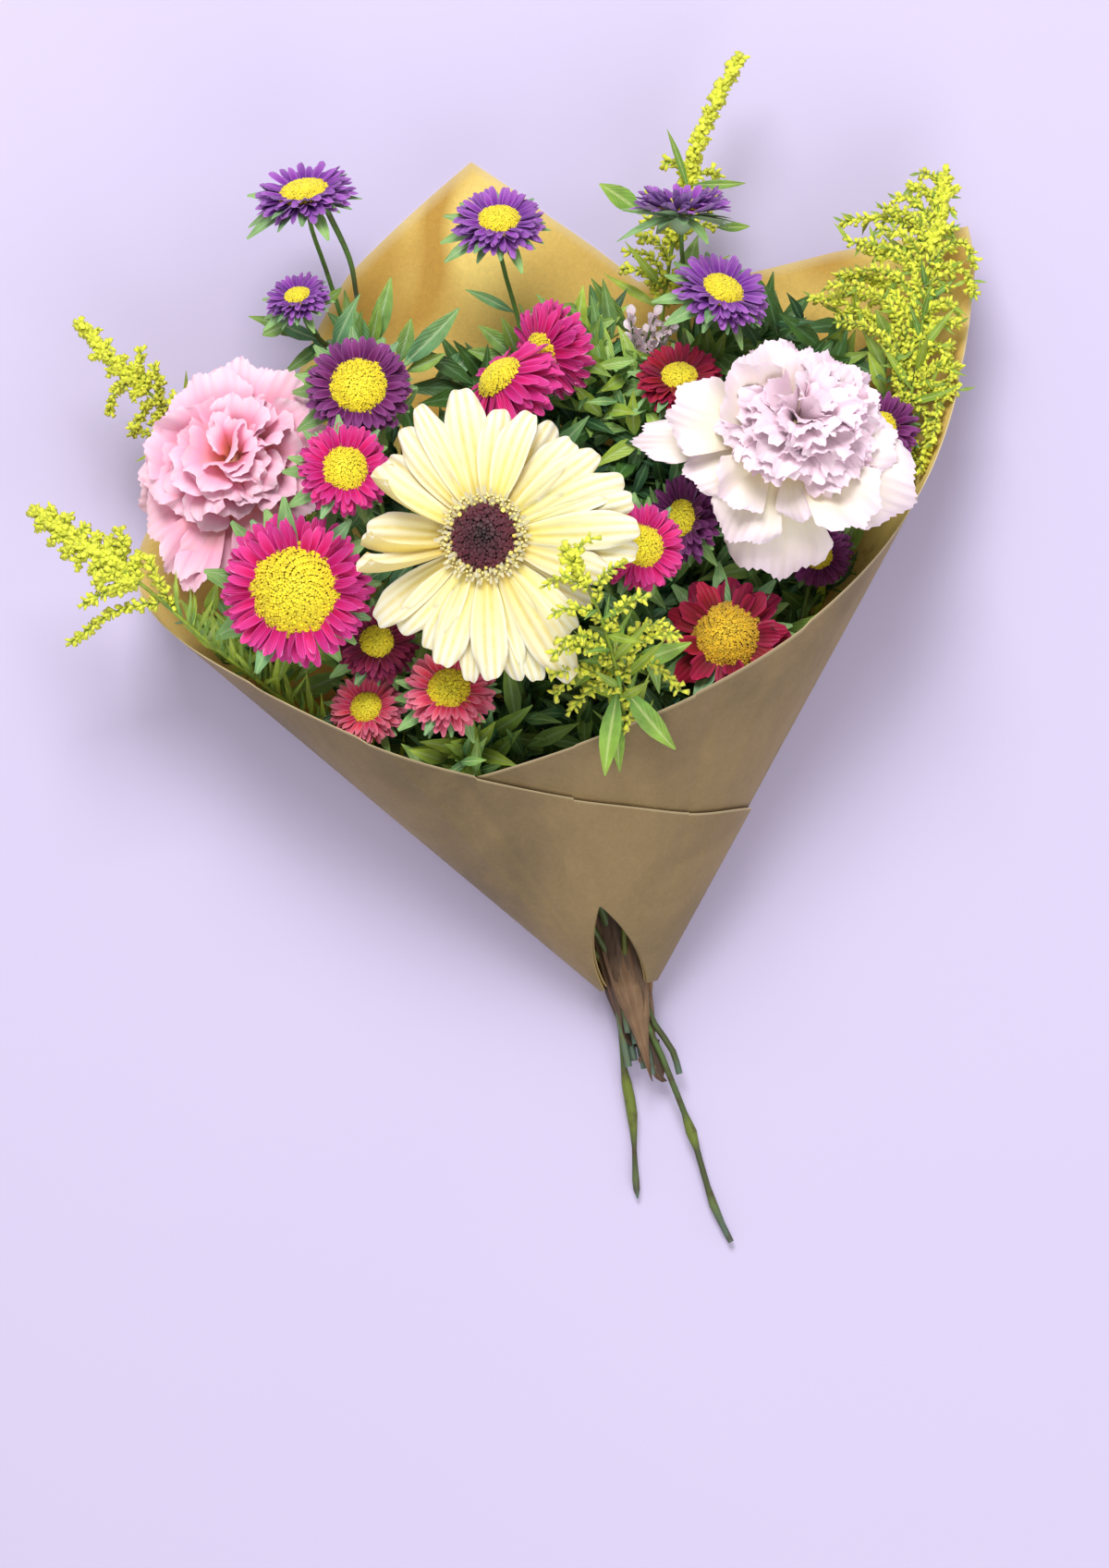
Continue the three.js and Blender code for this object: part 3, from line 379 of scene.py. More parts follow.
def paths_of(name: str, paths: Sequence[Path], radii: Sequence[Sequence[float]] = ()) -> bpy.types.Mesh:
    """Makes a mesh of open paths for stems to follow or for leaves to stand on.

    Args:
        name: the mesh's name.
        paths: the paths' points.
        radii: the stem's radius at each point, if it has one.

    Returns:
        The mesh, with the radius, the share of the way and how far a knot swells at each point.
    """
    points, edges, radius, along, knots = [], [], [], [], []
    for path, path_radii in zip(paths, radii or [[1.0] * len(path) for path in paths]):
        start = len(points)
        points += [tuple(point * MM) for point in path]
        edges += [(start + i, start + i + 1) for i in range(len(path) - 1)]
        radius += [r * MM for r in path_radii]
        along += [i / (len(path) - 1) for i in range(len(path))]
        knots += [max(0.0, r / np.median(path_radii) - 1.15) for r in path_radii]
    mesh = bpy.data.meshes.new(name)
    mesh.from_pydata(points, edges, [])
    for attribute, values in {"radius": radius, "along": along, "knot": knots}.items():
        store(mesh, attribute, values)
    return mesh


def lathe(name: str, profile: Sequence[tuple[float, float]], sides: int) -> bpy.types.Mesh:
    """Turns a profile of (radius, height), from the foot's middle to the top's middle, into a closed mesh.

    Args:
        name: the mesh's name.
        profile: the radius and height of each ring, from the foot up.
        sides: how many sides each ring has.

    Returns:
        The closed mesh.
    """
    points = [(0.0, 0.0, profile[0][1])]
    turns = [math.tau * k / sides for k in range(sides)]
    for radius, height in profile:
        points += [(radius * math.cos(t), radius * math.sin(t), height) for t in turns]
    points.append((0.0, 0.0, profile[-1][1]))
    faces = [(0, 1 + (k + 1) % sides, 1 + k) for k in range(sides)]
    for ring in range(len(profile) - 1):
        low, high = 1 + ring * sides, 1 + (ring + 1) * sides
        faces += [(low + k, low + (k + 1) % sides, high + (k + 1) % sides, high + k) for k in range(sides)]
    top, rim = len(points) - 1, 1 + (len(profile) - 1) * sides
    faces += [(top, rim + k, rim + (k + 1) % sides) for k in range(sides)]
    mesh = mesh_of(name, np.array(points), faces)
    mesh.shade_smooth()
    return mesh


@dataclass(frozen=True)
class Blade:
    """A petal or leaf: a thin closed form along +X with its upper side to +Z.

    Shares are of the length, or of the half width where they say so. The outline lists half widths,
    as shares of the widest, at even steps along the blade.
    """

    length: float
    width: float
    outline: tuple[float, ...]
    rows: int = 4
    columns: int = 2
    thickness: float = 0.35
    arch: float = 0.0
    hook: float = 0.0
    fold: float = 0.0
    grooves: int = 0
    groove_depth: float = 0.0
    roundness: float = 0.0
    teeth: int = 0
    tooth_depth: float = 0.0
    waves: float = 0.0
    ruffle: float = 0.0
    frills: float = 0.0
    frill: float = 0.0
    twist: float = 0.0
    phase: float = 0.0

    def bent(self, along: np.ndarray, across: np.ndarray) -> tuple[np.ndarray, np.ndarray, np.ndarray]:
        """Bends the flat blade into its form.

        Args:
            along: the share of the length, for each point.
            across: the share of the half width, for each point.

        Returns:
            The points' x, y and z.
        """
        half = self.width / 2 * np.interp(along, np.linspace(0, 1, len(self.outline)), self.outline)
        teeth = self.tooth_depth * (0.5 + 0.5 * np.cos(math.pi * self.teeth * across))
        bite = self.roundness * np.abs(across) ** 2.5 + teeth
        far, end = along**3, along**5
        rough = self.ruffle * self.length * along**2
        swing = math.pi * self.waves * across + self.phase
        x = self.length * along * (1 - bite * far) + 0.4 * rough * np.cos(1.7 * swing)
        y = half * across + 0.35 * rough * np.cos(swing) * across
        z = -self.arch * self.length * along**2 - self.hook * self.length * end
        z = z + self.fold * half * np.abs(across) + rough * np.sin(swing)
        z = z + self.frill * self.length * end * np.sin(math.pi * self.frills * across + 2 * self.phase)
        groove = self.groove_depth * np.cos(math.pi * self.grooves * across)
        z = z + groove * np.minimum(1, 4 * along) * (1 - 0.6 * far)
        turn = self.twist * along
        return x, y * np.cos(turn) - z * np.sin(turn), y * np.sin(turn) + z * np.cos(turn)

    def mesh(self, name: str) -> bpy.types.Mesh:
        """Makes the blade's mesh, with along, across and side to colour it by.

        Args:
            name: the mesh's name.

        Returns:
            The closed mesh, in metres.
        """
        shares = np.linspace(0, 1, self.rows + 1), np.linspace(-1, 1, self.columns + 1)
        along, across = np.meshgrid(*shares, indexing="ij")
        x, y, z = self.bent(along, across)
        inner = np.zeros(along.shape, bool)
        inner[1:-1, 1:-1] = True
        rise = np.where(inner, self.thickness / 2, 0)
        upper = np.stack([x, y, z + rise], -1).reshape(-1, 3)
        lower = np.stack([x, y, z - rise], -1)[inner]
        top = np.arange(along.size).reshape(along.shape)
        bottom = top.copy()
        bottom[inner] = along.size + np.arange(inner.sum())
        faces = []
        for i in range(self.rows):
            for j in range(self.columns):
                ring = [(i, j), (i + 1, j), (i + 1, j + 1), (i, j + 1)]
                faces += [[int(top[at]) for at in ring], [int(bottom[at]) for at in reversed(ring)]]
        both = [np.concatenate([share.ravel(), share[inner]]) for share in (along, across)]
        mesh = mesh_of(name, np.concatenate([upper, lower]), faces, along=both[0], across=both[1])
        store(mesh, "side", [1.0, 0.0] * (self.rows * self.columns), "FACE")
        sharpen(mesh, set(top[~inner].tolist()))
        return mesh


def sharpen(mesh: bpy.types.Mesh, rim: set[int]) -> None:
    """Makes the edges between the rim's points sharp."""
    sharp = [edge.vertices[0] in rim and edge.vertices[1] in rim for edge in mesh.edges]
    store(mesh, "sharp_edge", sharp, "EDGE", "BOOLEAN")


def variants(name: str, *shapes: Blade | bpy.types.Mesh) -> bpy.types.Collection:
    """Puts the shapes that a growing rule picks from in a collection of their own.

    Args:
        name: what the shapes are called.
        *shapes: blades, or meshes that are ready.

    Returns:
        The collection, which is in no scene.
    """
    collection = bpy.data.collections.new(name)
    for i, shape in enumerate(shapes):
        mesh = shape.mesh(name) if isinstance(shape, Blade) else shape
        collection.objects.link(bpy.data.objects.new(f"{name}_{i}", mesh))
    return collection


@cache
def florets(name: str, *profiles: Profile, tipped: float = 0.0) -> bpy.types.Collection:
    """Makes tiny florets to pick from, coloured by their height.

    Args:
        name: the collection's name.
        *profiles: the radius and the height along each kind, in millimetres.
        tipped: how far they are turned from +Z towards +X, in degrees.

    Returns:
        The collection.
    """
    meshes = [lathe(name, profile, 5) for profile in profiles]
    for mesh in meshes:
        store(mesh, "along", [vertex.co.z / MM for vertex in mesh.vertices])
        mesh.transform(Matrix.Rotation(math.radians(tipped), 4, "Y"))
    return variants(name, *meshes)


def lifted(mesh: bpy.types.Mesh, height: float) -> bpy.types.Mesh:
    """Moves a mesh up by a height in millimetres."""
    mesh.transform(Matrix.Translation((0, 0, height * MM)))
    return mesh


def joined(name: str, meshes: Sequence[bpy.types.Mesh], matrix: Matrix | None = None) -> bpy.types.Object:
    """Joins meshes into one object of the scene, with its place in its mesh.

    Args:
        name: the object's name.
        meshes: the meshes.
        matrix: where they go, if they aren't there yet.

    Returns:
        The object.
    """
    parts = [bpy.data.objects.new(name, mesh) for mesh in meshes]
    for part in parts:
        if matrix:
            part.data.transform(matrix)
        bpy.context.scene.collection.objects.link(part)
    if len(parts) > 1:
        active = {"active_object": parts[0], "object": parts[0]}
        with bpy.context.temp_override(**active, selected_editable_objects=parts, selected_objects=parts):
            bpy.ops.object.join()
    return parts[0]


def dressed(mesh: bpy.types.Mesh, material: bpy.types.Material) -> bpy.types.Mesh:
    """Gives a whole mesh one material.

    Args:
        mesh: the mesh, which is changed.
        material: its only material.

    Returns:
        The same mesh.
    """
    mesh.materials.clear()
    mesh.materials.append(material)
    return mesh


def finish_piece(piece: bpy.types.Object, slot: str, *nodes: str) -> None:
    """Sets a piece on the body, says which solids it stands for and reports it.

    Args:
        piece: the finished object.
        slot: the surface's plain name; not used.
        *nodes: the solids that it stands for.
    """
    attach(piece, "root")
    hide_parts(*nodes)
    LOG.info("%s: %d faces for %s", piece.name, len(piece.data.polygons), ", ".join(nodes))


# ---------- The view ----------


@dataclass(frozen=True)
class View:
    """The straight-down view that places are measured in."""

    eye_height: float = 2500.0
    pixel: float = 0.385
    middle: tuple[float, float] = (600.0, 848.5)
    origin_down: float = 620.0
    pixels_down: float = 1697.0
    sensor: float = 36.0

    @property
    def aim(self) -> float:
        """How far along +Y the camera stands."""
        return (self.origin_down - self.middle[1]) * self.pixel

    def place(self, at: Place) -> Vector:
        """Turns [across, down, height] to millimetres in the object's frame.

        Args:
            at: pixels across and down the picture, and millimetres over the table.

        Returns:
            The place in the object's frame.
        """
        across, down, height = at
        scale = self.pixel * (1 - height / self.eye_height)
        return Vector(((across - self.middle[0]) * scale, (self.middle[1] - down) * scale + self.aim, height))

    def places(self, places: Sequence[Place]) -> list[Vector]:
        """Turns each place as place does."""
        return [self.place(at) for at in places]

    def add_camera(self) -> None:
        """Adds the camera that looks straight down with +Y to the top of the picture."""
        lens = bpy.data.cameras.new("view")
        lens.sensor_width = self.sensor
        lens.lens = self.sensor * self.eye_height / (self.pixels_down * self.pixel)
        camera = bpy.data.objects.new("view", lens)
        camera.location = (0, self.aim * MM, self.eye_height * MM)
        bpy.context.scene.collection.objects.link(camera)
        bpy.context.scene.camera = camera


VIEW = View()


# ---------- Finishes ----------

EVEN_REACH = (1.0, 1.0, 1.0)
GLOW_REACH = 0.001
BLADE_VALUES = ("along", "across", "side", "tint")


class Finish:
    """What every material here shares: one Principled shader whose constant values sit on its own sockets."""

    name: str
    roughness: float

    def begin(self, **values: float | Place) -> tuple[bpy.types.Material, partial, Socket]:
        """Starts the material.

        Args:
            **values: constant values of the shader's inputs, by name with _ for a space.

        Returns:
            The material, what adds a node to it, and the point on the piece, for patterns.
        """
        material = bpy.data.materials.new(self.name)
        material.use_nodes = True
        shader = material.node_tree.nodes["Principled BSDF"]
        for socket, value in {"Roughness": self.roughness, **values}.items():
            shader.inputs[socket.replace("_", " ")].default_value = value
        add = partial(add_node, material.node_tree)
        return material, add, add("ShaderNodeTexCoord", out="Object")

    def end(self, material: bpy.types.Material, **sources: Socket) -> bpy.types.Material:
        """Links the colour and the bump to the shader's inputs, and gives the material.

        Args:
            material: the material that begin made.
            **sources: what each input of the shader takes.

        Returns:
            The finished material.
        """
        shader = material.node_tree.nodes["Principled BSDF"]
        for socket, source in sources.items():
            material.node_tree.links.new(source, shader.inputs[socket.replace("_", " ")])
        return material


@dataclass(frozen=True)
class Petal(Finish):
    """A fresh ray petal: thin, matt to silky skin with lengthwise veins, a little light coming through.
    The base colour streaks along the veins, partly the petal's own veins and partly painted shade in its
    grooves and folds.
    """

    name: str
    base: str
    body: str
    tip: str
    under: str
    veins: float = 5.0
    vein_depth: float = 0.00012
    # how strongly the base colour streaks the veins: partly vein colour, partly painted groove and fold shade
    vein_and_fold_shade: float = 0.25
    roughness: float = 0.55
    glow: float = 0.1
    vary: float = 0.16
    edging: float = 0.7
    middle: float = 0.45
    mottling: float = 240.0
    hues: tuple[float, float] = (0.492, 0.508)

    @cache
    def material(self) -> bpy.types.Material:
        """Makes the material.

        Returns:
            The material.
        """
        material, add, point = self.begin(
            Subsurface_Weight=self.glow, Subsurface_Scale=GLOW_REACH, Subsurface_Radius=EVEN_REACH,
            Sheen_Weight=0.06, Specular_IOR_Level=0.28,
        )  # fmt: skip
        along, across, side, tint = (add(ATTRIBUTE, out="Fac", attribute_name=name) for name in BLADE_VALUES)
        ramp = add("ShaderNodeValToRGB", along)
        stops = ramp.node.color_ramp.elements
        stops[0].color, stops[1].color = linear(self.base), linear(self.tip)
        stops.new(self.middle).color = linear(self.body)
        vein = add(MATH, add(MATH, across, self.veins * math.pi, operation="MULTIPLY"), operation="COSINE")
        mottle = add(NOISE, point, self.mottling, 3.0)
        # streaks of the base colour: partly real veins, partly painted shade in grooves and folds
        vein_and_fold_shade = add(MATH, add(RANGE, vein, 0.4, -1.0), mottle, operation="MULTIPLY")
        vein_and_fold_shade = add(MATH, vein_and_fold_shade, self.vein_and_fold_shade * 2, operation="MULTIPLY", use_clamp=True)
        veined_and_fold_shaded = add(MIX, vein_and_fold_shade, ramp, linear(self.base), data_type="RGBA")
        off = add(MATH, across, operation="ABSOLUTE")
        edge = add(RANGE, off, 0.55, 1.0, 0.0, self.edging)
        edged = add(MIX, edge, veined_and_fold_shaded, linear(self.tip), data_type="RGBA")
        sided = add(MIX, side, linear(self.under), edged, data_type="RGBA")
        value = add(RANGE, tint, None, None, 1 - self.vary, 1 + self.vary)
        hue = add(RANGE, tint, None, None, *self.hues)
        bump = add(BUMP, Height=vein, Distance=self.vein_depth, Strength=0.7)
        return self.end(material, Base_Color=add(HUE, Hue=hue, Value=value, Color=sided), Normal=bump)


@dataclass(frozen=True)
class Floret(Finish):
    """Disc florets or goldenrod florets: tiny waxy tubes, dusted with pollen, with painted shade towards
    their feet, where they stand packed together.
    """

    name: str
    middle: str
    edge: str
    # the foot colour is painted shade low on each floret
    foot: str
    roughness: float = 0.6
    vary: float = 0.22
    pollen: float = 2500.0
    pollen_depth: float = 0.0002

    @cache
    def material(self) -> bpy.types.Material:
        """Makes the material.

        Returns:
            The material.
        """
        glow = {"Subsurface_Weight": 0.08, "Subsurface_Scale": GLOW_REACH}
        material, add, point = self.begin(**glow, Sheen_Weight=0.2)
        values = ("ring", "along", "tint")
        ring, along, tint = (add(ATTRIBUTE, out="Fac", attribute_name=name) for name in values)
        ringed = add(MIX, ring, linear(self.middle), linear(self.edge), data_type="RGBA")
        # paints shade low on each floret, where its neighbours would shade it
        shade = add(RANGE, along, 0.1, 0.75)
        shaded_at_foot = add(MIX, shade, linear(self.foot), ringed, data_type="RGBA")
        value = add(RANGE, tint, None, None, 1 - self.vary, 1 + self.vary)
        pollen = add(NOISE, point, self.pollen, 1.0)
        bump = add(BUMP, Height=pollen, Distance=self.pollen_depth, Strength=0.6)
        return self.end(material, Base_Color=add(HUE, Value=value, Color=shaded_at_foot), Normal=bump)


@dataclass(frozen=True)
class Leaf(Finish):
    """A fresh leaf: waxy skin with a paler rib and side veins, each leaf between two greens."""

    name: str
    cool: str
    warm: str
    rib: str
    under: str
    roughness: float = 0.45
    mottling: float = 130.0
    veins: float = 46.0
    vein_depth: float = 0.0001

    @cache
    def material(self) -> bpy.types.Material:
        """Makes the material.

        Returns:
            The material.
        """
        material, add, point = self.begin(
            Subsurface_Weight=0.06, Subsurface_Scale=GLOW_REACH, Specular_IOR_Level=0.45
        )
        along, across, side, tint = (add(ATTRIBUTE, out="Fac", attribute_name=name) for name in BLADE_VALUES)
        ageing = add(MATH, along, 0.5, -0.2, operation="MULTIPLY_ADD")
        ageing = add(MATH, tint, ageing, operation="ADD", use_clamp=True)
        green = add(MIX, ageing, linear(self.cool), linear(self.warm), data_type="RGBA")
        value = add(RANGE, add(NOISE, point, self.mottling, 4.0), 0.3, 0.7, 0.72, 1.2)
        off = add(MATH, across, operation="ABSOLUTE")
        rib = add(RANGE, off, 0.05, 0.22, 0.65, 0.0)
        ribbed = add(MIX, rib, add(HUE, Value=value, Color=green), linear(self.rib), data_type="RGBA")
        sided = add(MIX, side, linear(self.under), ribbed, data_type="RGBA")
        slant = add(MATH, off, 0.35, along, operation="MULTIPLY_ADD")
        vein = add(MATH, add(MATH, slant, self.veins, operation="MULTIPLY"), operation="SINE")
        bump = add(BUMP, Height=vein, Distance=self.vein_depth, Strength=0.5)
        return self.end(material, Base_Color=sided, Normal=bump)


@dataclass(frozen=True)
class Stalk(Finish):
    """A cut stem: green skin, ribbed lengthwise, browner and more bruised towards its cut end."""

    name: str
    cut: str
    fresh: str
    scar: str
    knot: str = "6C7A2E"
    end_colour: str = "5C7468"
    roughness: float = 0.5
    mottling: float = 160.0
    depth: float = 0.0003

    @cache
    def material(self) -> bpy.types.Material:
        """Makes the material.

        Returns:
            The material.
        """
        material, add, point = self.begin(Specular_IOR_Level=0.4)
        along, knot = (add(ATTRIBUTE, out="Fac", attribute_name=name) for name in ("along", "knot"))
        mottle = add(NOISE, point, self.mottling, 4.0)
        green = linear(self.cut)
        for colour, share in (
            (self.fresh, add(RANGE, along, 0.12, 0.45)),
            (self.knot, add(RANGE, knot, 0.0, 0.4)),
            (self.end_colour, add(RANGE, along, 0.0, 0.07, 0.8, 0.0)),
            (self.scar, add(RANGE, mottle, 0.5, 0.68, 0.0, 0.75)),
        ):
            green = add(MIX, share, green, linear(colour), data_type="RGBA")
        bump = add(BUMP, Height=mottle, Distance=self.depth, Strength=0.6)
        return self.end(material, Base_Color=green, Normal=bump)


@dataclass(frozen=True)
class Kraft(Finish):
    """Unbleached kraft paper: smooth brown sheet with fine fibres, softly mottled and creased by hand.
    Its outer browns are painted shade and its inner golds painted light; a mottle of painted fold shade
    runs over the gold, the outer mottle is partly the paper's own tone and partly painted crease shade,
    and a painted highlight runs along the rim.
    """

    name: str
    # The outer browns are painted shade; the inner golds are painted light, the darker gold painted fold
    # shade.
    shaded_outside: str
    shaded_outside_pale: str
    inside: str
    lit_inside: str
    # the rim's painted highlight colour
    edge: str
    roughness: float = 0.72
    mottle_and_crease_shade_scale: float = 11.0
    fold_shade_scale: float = 14.0
    fibres: float = 520.0
    creases: float = 26.0
    depth: float = 0.0002

    @cache
    def material(self) -> bpy.types.Material:
        """Makes the material.

        Returns:
            The material.
        """
        material, add, point = self.begin(Specular_IOR_Level=0.3, Sheen_Weight=0.08)
        inside, rim = (add(ATTRIBUTE, out="Fac", attribute_name=name) for name in ("inside", "rim"))
        # outer mottle: partly the paper's own tone, partly painted crease shade; inner mottle: painted fold
        # shade on the lit gold
        cloud = add(RANGE, add(NOISE, point, self.mottle_and_crease_shade_scale, 6.0, Roughness=0.6, Distortion=0.6), 0.36, 0.62)
        fold = add(RANGE, add(NOISE, point, self.fold_shade_scale, 1.0, Distortion=1.0), 0.36, 0.6)
        outer = add(MIX, cloud, linear(self.shaded_outside), linear(self.shaded_outside_pale), data_type="RGBA")
        inner = add(MIX, fold, linear(self.inside), linear(self.lit_inside), data_type="RGBA")
        sheet = add(MIX, inside, outer, inner, data_type="RGBA")
        fibre = add(NOISE, point, self.fibres, 4.0, Distortion=1.2)
        fibred = add(HUE, Value=add(RANGE, fibre, 0.3, 0.7, 0.93, 1.06), Color=sheet)
        # paints a highlight along the rim
        edged = add(MIX, rim, fibred, linear(self.edge), data_type="RGBA")
        bump = add(BUMP, Height=fibre, Distance=self.depth, Strength=0.4)
        crease = add("ShaderNodeTexVoronoi", point, self.creases, Randomness=1.0, feature="DISTANCE_TO_EDGE")
        crease = add(RANGE, crease, 0.0, 0.03)
        creased = add(BUMP, Height=crease, Distance=self.depth, Strength=0.25, Normal=bump)
        return self.end(material, Base_Color=edged, Normal=creased)


@dataclass(frozen=True)
class Plain(Finish):
    """Natural rubber or a painted floor: one colour, faintly clouded."""

    name: str
    colour: str
    cloudy: str
    grain: float
    roughness: float

    @cache
    def material(self) -> bpy.types.Material:
        """Makes the material.

        Returns:
            The material.
        """
        material, add, point = self.begin()
        cloud = add(NOISE, point, self.grain, 3.0)
        mixed = add(MIX, cloud, linear(self.colour), linear(self.cloudy), data_type="RGBA")
        return self.end(material, Base_Color=mixed)


class Colour(Enum):
    """The ray petals' colours, each with the record's slot that it belongs to."""

    VIOLET = Petal("violet_petal", "5C2086", "8434A6", "BA74D2", "AC84C8")
    PLUM = Petal("plum_petal", "3C0838", "6C1460", "9C4C94", "A070A4")
    MAGENTA = Petal("magenta_petal", "8E0044", "DC0672", "F248A6", "EE7CBC")
    CORAL = Petal("coral_petal", "A61838", "EE3E66", "FA8CA6", "EE8CA2")
    MAROON = Petal("maroon_petal", "40061A", "740E38", "B03868", "8C3C5C")
    CRIMSON = Petal("crimson_petal", "420410", "8A0A26", "C02050", "C82C68")
    # The cream rays' yellow streaks follow the gerbera's grooves: vein colour and painted groove shade.
    CREAM = Petal("cream_petal", "ECD04C", "F4E8A6", "FCF7E2", "F2E090", 4.0, vein_and_fold_shade=0.45, glow=0.3,
                  vary=0.03, edging=0.6, middle=0.32)  # fmt: skip
    BLUSH = Petal("blush_petal", "EED67C", "FAF2DC", "FAE4F4", "FBF2FA", 9.0, 0.00002, 0.05, glow=0.06,
                  vary=0.03, edging=0.2, middle=0.58)  # fmt: skip
    BLUSH_HEART = Petal("blush_heart_petal", "FFD4E0", "FFEEF4", "FFE2F3", "FFF0F8", 9.0, 0.00002, 0.04,
                        glow=0.06, vary=0.03, edging=0.3)  # fmt: skip
    PINK = Petal("pink_petal", "FFB084", "FFB4D2", "FFD8EA", "FFC2DC", 9.0, 0.00002, 0.08, glow=0.06,
                 vary=0.05, edging=0.2, middle=0.68)  # fmt: skip
    STATICE = Petal("statice_petal", "F0C4DA", "FFE8F2", "FFFAFC", "FFE4F0", vary=0.06)

    @property
    def slot(self) -> str:
        """The record's material slot."""
        kind = self.name.split("_")[0].lower()
        return "statice_pink" if self is Colour.STATICE else f"petals_{kind}"

    @property
    def material(self) -> bpy.types.Material:
        """The petal material."""
        return self.value.material()


# The last colour of each floret finish is the painted shade at the florets' feet.
YELLOW_FLORETS = Floret("yellow_florets", "FAEC30", "F0D81C", "E2C020", vary=0.14)
GOLD_FLORETS = Floret("gold_florets", "F2CC20", "D2A41C", "A8781A", vary=0.2)
DARK_FLORETS = Floret("dark_florets", "22060E", "64182E", "180408", roughness=0.5)
CREAM_FLORETS = Floret("cream_florets", "F0D860", "F8EFA8", "C8A040")
GOLDENROD_FLORETS = Floret("goldenrod_florets", "DFE242", "C8D03C", "94AC36")
MID_FOLIAGE = Leaf("lit_leaf", "3E7A54", "80A244", "9CC084", "84A87C")
FOLIAGE = Leaf("aster_leaf", "5E9A74", "98BE54", "BCD8A4", "A0C29C")
DEEP_FOLIAGE = Leaf("shaded_leaf", "1E4A34", "47702E", "6E9A64", "5E8662")
YOUNG_FOLIAGE = Leaf("young_leaf", "6CA668", "B0CC48", "C8DE98", "A8C88C")
GOLDENROD_FOLIAGE = Leaf("goldenrod_leaf", "5F9A48", "A8C23C", "C4D488", "A2BC7C")
BRACT = Leaf("bract", "6CA07C", "8EB866", "ACC890", "A0BE98")
WILTED_LEAF = Leaf("wilted_leaf", "42322C", "86694C", "7C5C44", "4E3C30", roughness=0.7)
STEM_SKIN = Stalk("stem_skin", "4A5230", "5C8238", "4A3A24")
GOLDENROD_SKIN = Stalk("goldenrod_skin", "4A4A22", "8DA634", "6A6A2A")
# Kraft colours: outer browns painted shade, inner golds painted light, the last a painted rim highlight.
KRAFT_PAPER = Kraft("kraft_paper", "786648", "967F58", "C89A44", "FADA7C", "E0CCA0")
NATURAL_RUBBER = Plain("natural_rubber", "B08D57", "9C7A48", 300.0, 0.6)
FLOOR_PAINT = Plain("pale_floor", "CFC5E7", "D3C9E9", 3.0, 0.8)


# ---------- Blooms ----------


@dataclass(frozen=True)
class Shapes:
    """The growing rules that all pieces share."""

    rings: GrowingRule = field(default_factory=petal_rings_rule)
    placed: GrowingRule = field(default_factory=placed_petals_rule)
    dome: GrowingRule = field(default_factory=floret_dome_rule)
    along: GrowingRule = field(default_factory=along_stems_rule)
    stems: GrowingRule = field(default_factory=stems_rule)


SHAPES = Shapes()
RAY_THICKNESS = 0.8
GAP = 0.3
SHUT = ((0.2, 0.0), (0.42, 0.3), (0.4, 0.7), (0.18, 1.0))
FLARED = ((0.2, 0.0), (0.26, 0.45), (0.52, 0.95), (0.3, 0.9))
BRACT_OUTLINE = (0.5, 0.95, 1.0, 0.75, 0.2)


@dataclass(frozen=True)
class Calyx:
    """The green cup under a bloom and the leafy bracts round it."""

    cup_radius: float
    depth: float
    bract_length: float
    bract_width: float
    bracts: int = 10
    cup: float = 0.12
    rows: int = 2
    droop: float = 0.0
    top: float = -(RAY_THICKNESS / 2 + GAP) - 0.2

    def meshes(self, name: str, matrix: Matrix, foot_radius: float) -> list[bpy.types.Mesh]:
        """Makes the cup and its bracts at the bloom's place.

        Args:
            name: the bloom's name.
            matrix: the bloom's place.
            foot_radius: how thick the stem is where it meets the cup.

        Returns:
            The cup and the bracts.
        """
        profile = [
            (foot_radius, self.top - self.depth), (self.cup_radius * 0.75, self.top - self.depth * 0.7),
            (self.cup_radius, self.top - self.depth * 0.35), (self.cup_radius, self.top),
        ]  # fmt: skip
        cup = dressed(lathe(name, profile, 10), BRACT.material())
        bract = Blade(self.bract_length, self.bract_width, BRACT_OUTLINE, arch=0.12, fold=0.25)
        hub = self.cup_radius * 0.85 * MM
        ring = SHAPES.rings.grow(
            Variants=variants("bracts", bract), Count=self.bracts * self.rows, Rings=self.rows,
            Outer_Radius=hub, Inner_Radius=hub, Top=0.6 * MM, Outer_Cup=-self.cup - self.droop,
            Inner_Cup=0.1 - self.droop, Inner_Size=0.85, Sway=0.3, Lift=0.25, Roll=0.3, Thrift=0.2, Seed=5,
            Material=BRACT.material(),
        )  # fmt: skip
        lifted(ring, self.top - 1.2)
        for mesh in (cup, ring):
            mesh.transform(matrix)
        return [cup, ring]


@dataclass(frozen=True)
class Bloom(ABC):
    """A bloom's place, width and direction: tilt is from straight up, towards has 90 at +Y."""

    name: str
    at: Place
    across: float
    tilt: float
    towards: float
    colour: Colour

    @property
    def facing(self) -> Vector:
        """The direction that the bloom faces.

        Returns:
            A vector of length one.
        """
        tilt, towards = math.radians(self.tilt), math.radians(self.towards)
        out = math.sin(tilt)
        return Vector((out * math.cos(towards), out * math.sin(towards), math.cos(tilt)))

    @property
    def matrix(self) -> Matrix:
        """The bloom's frame in metres: its middle at its place, +Z along its direction."""
        turn = UP.rotation_difference(self.facing).to_matrix().to_4x4()
        return Matrix.Translation(VIEW.place(self.at) * MM) @ turn

    @property
    def foot(self) -> Vector:
        """Where the stem ends, under the calyx."""
        return VIEW.place(self.at) - self.facing * (RAY_THICKNESS / 2 + GAP + self.calyx.depth)

    @property
    @abstractmethod
    def calyx(self) -> Calyx:
        """The bloom's calyx."""

    @abstractmethod
    def build(self) -> None:
        """Makes the bloom's pieces."""


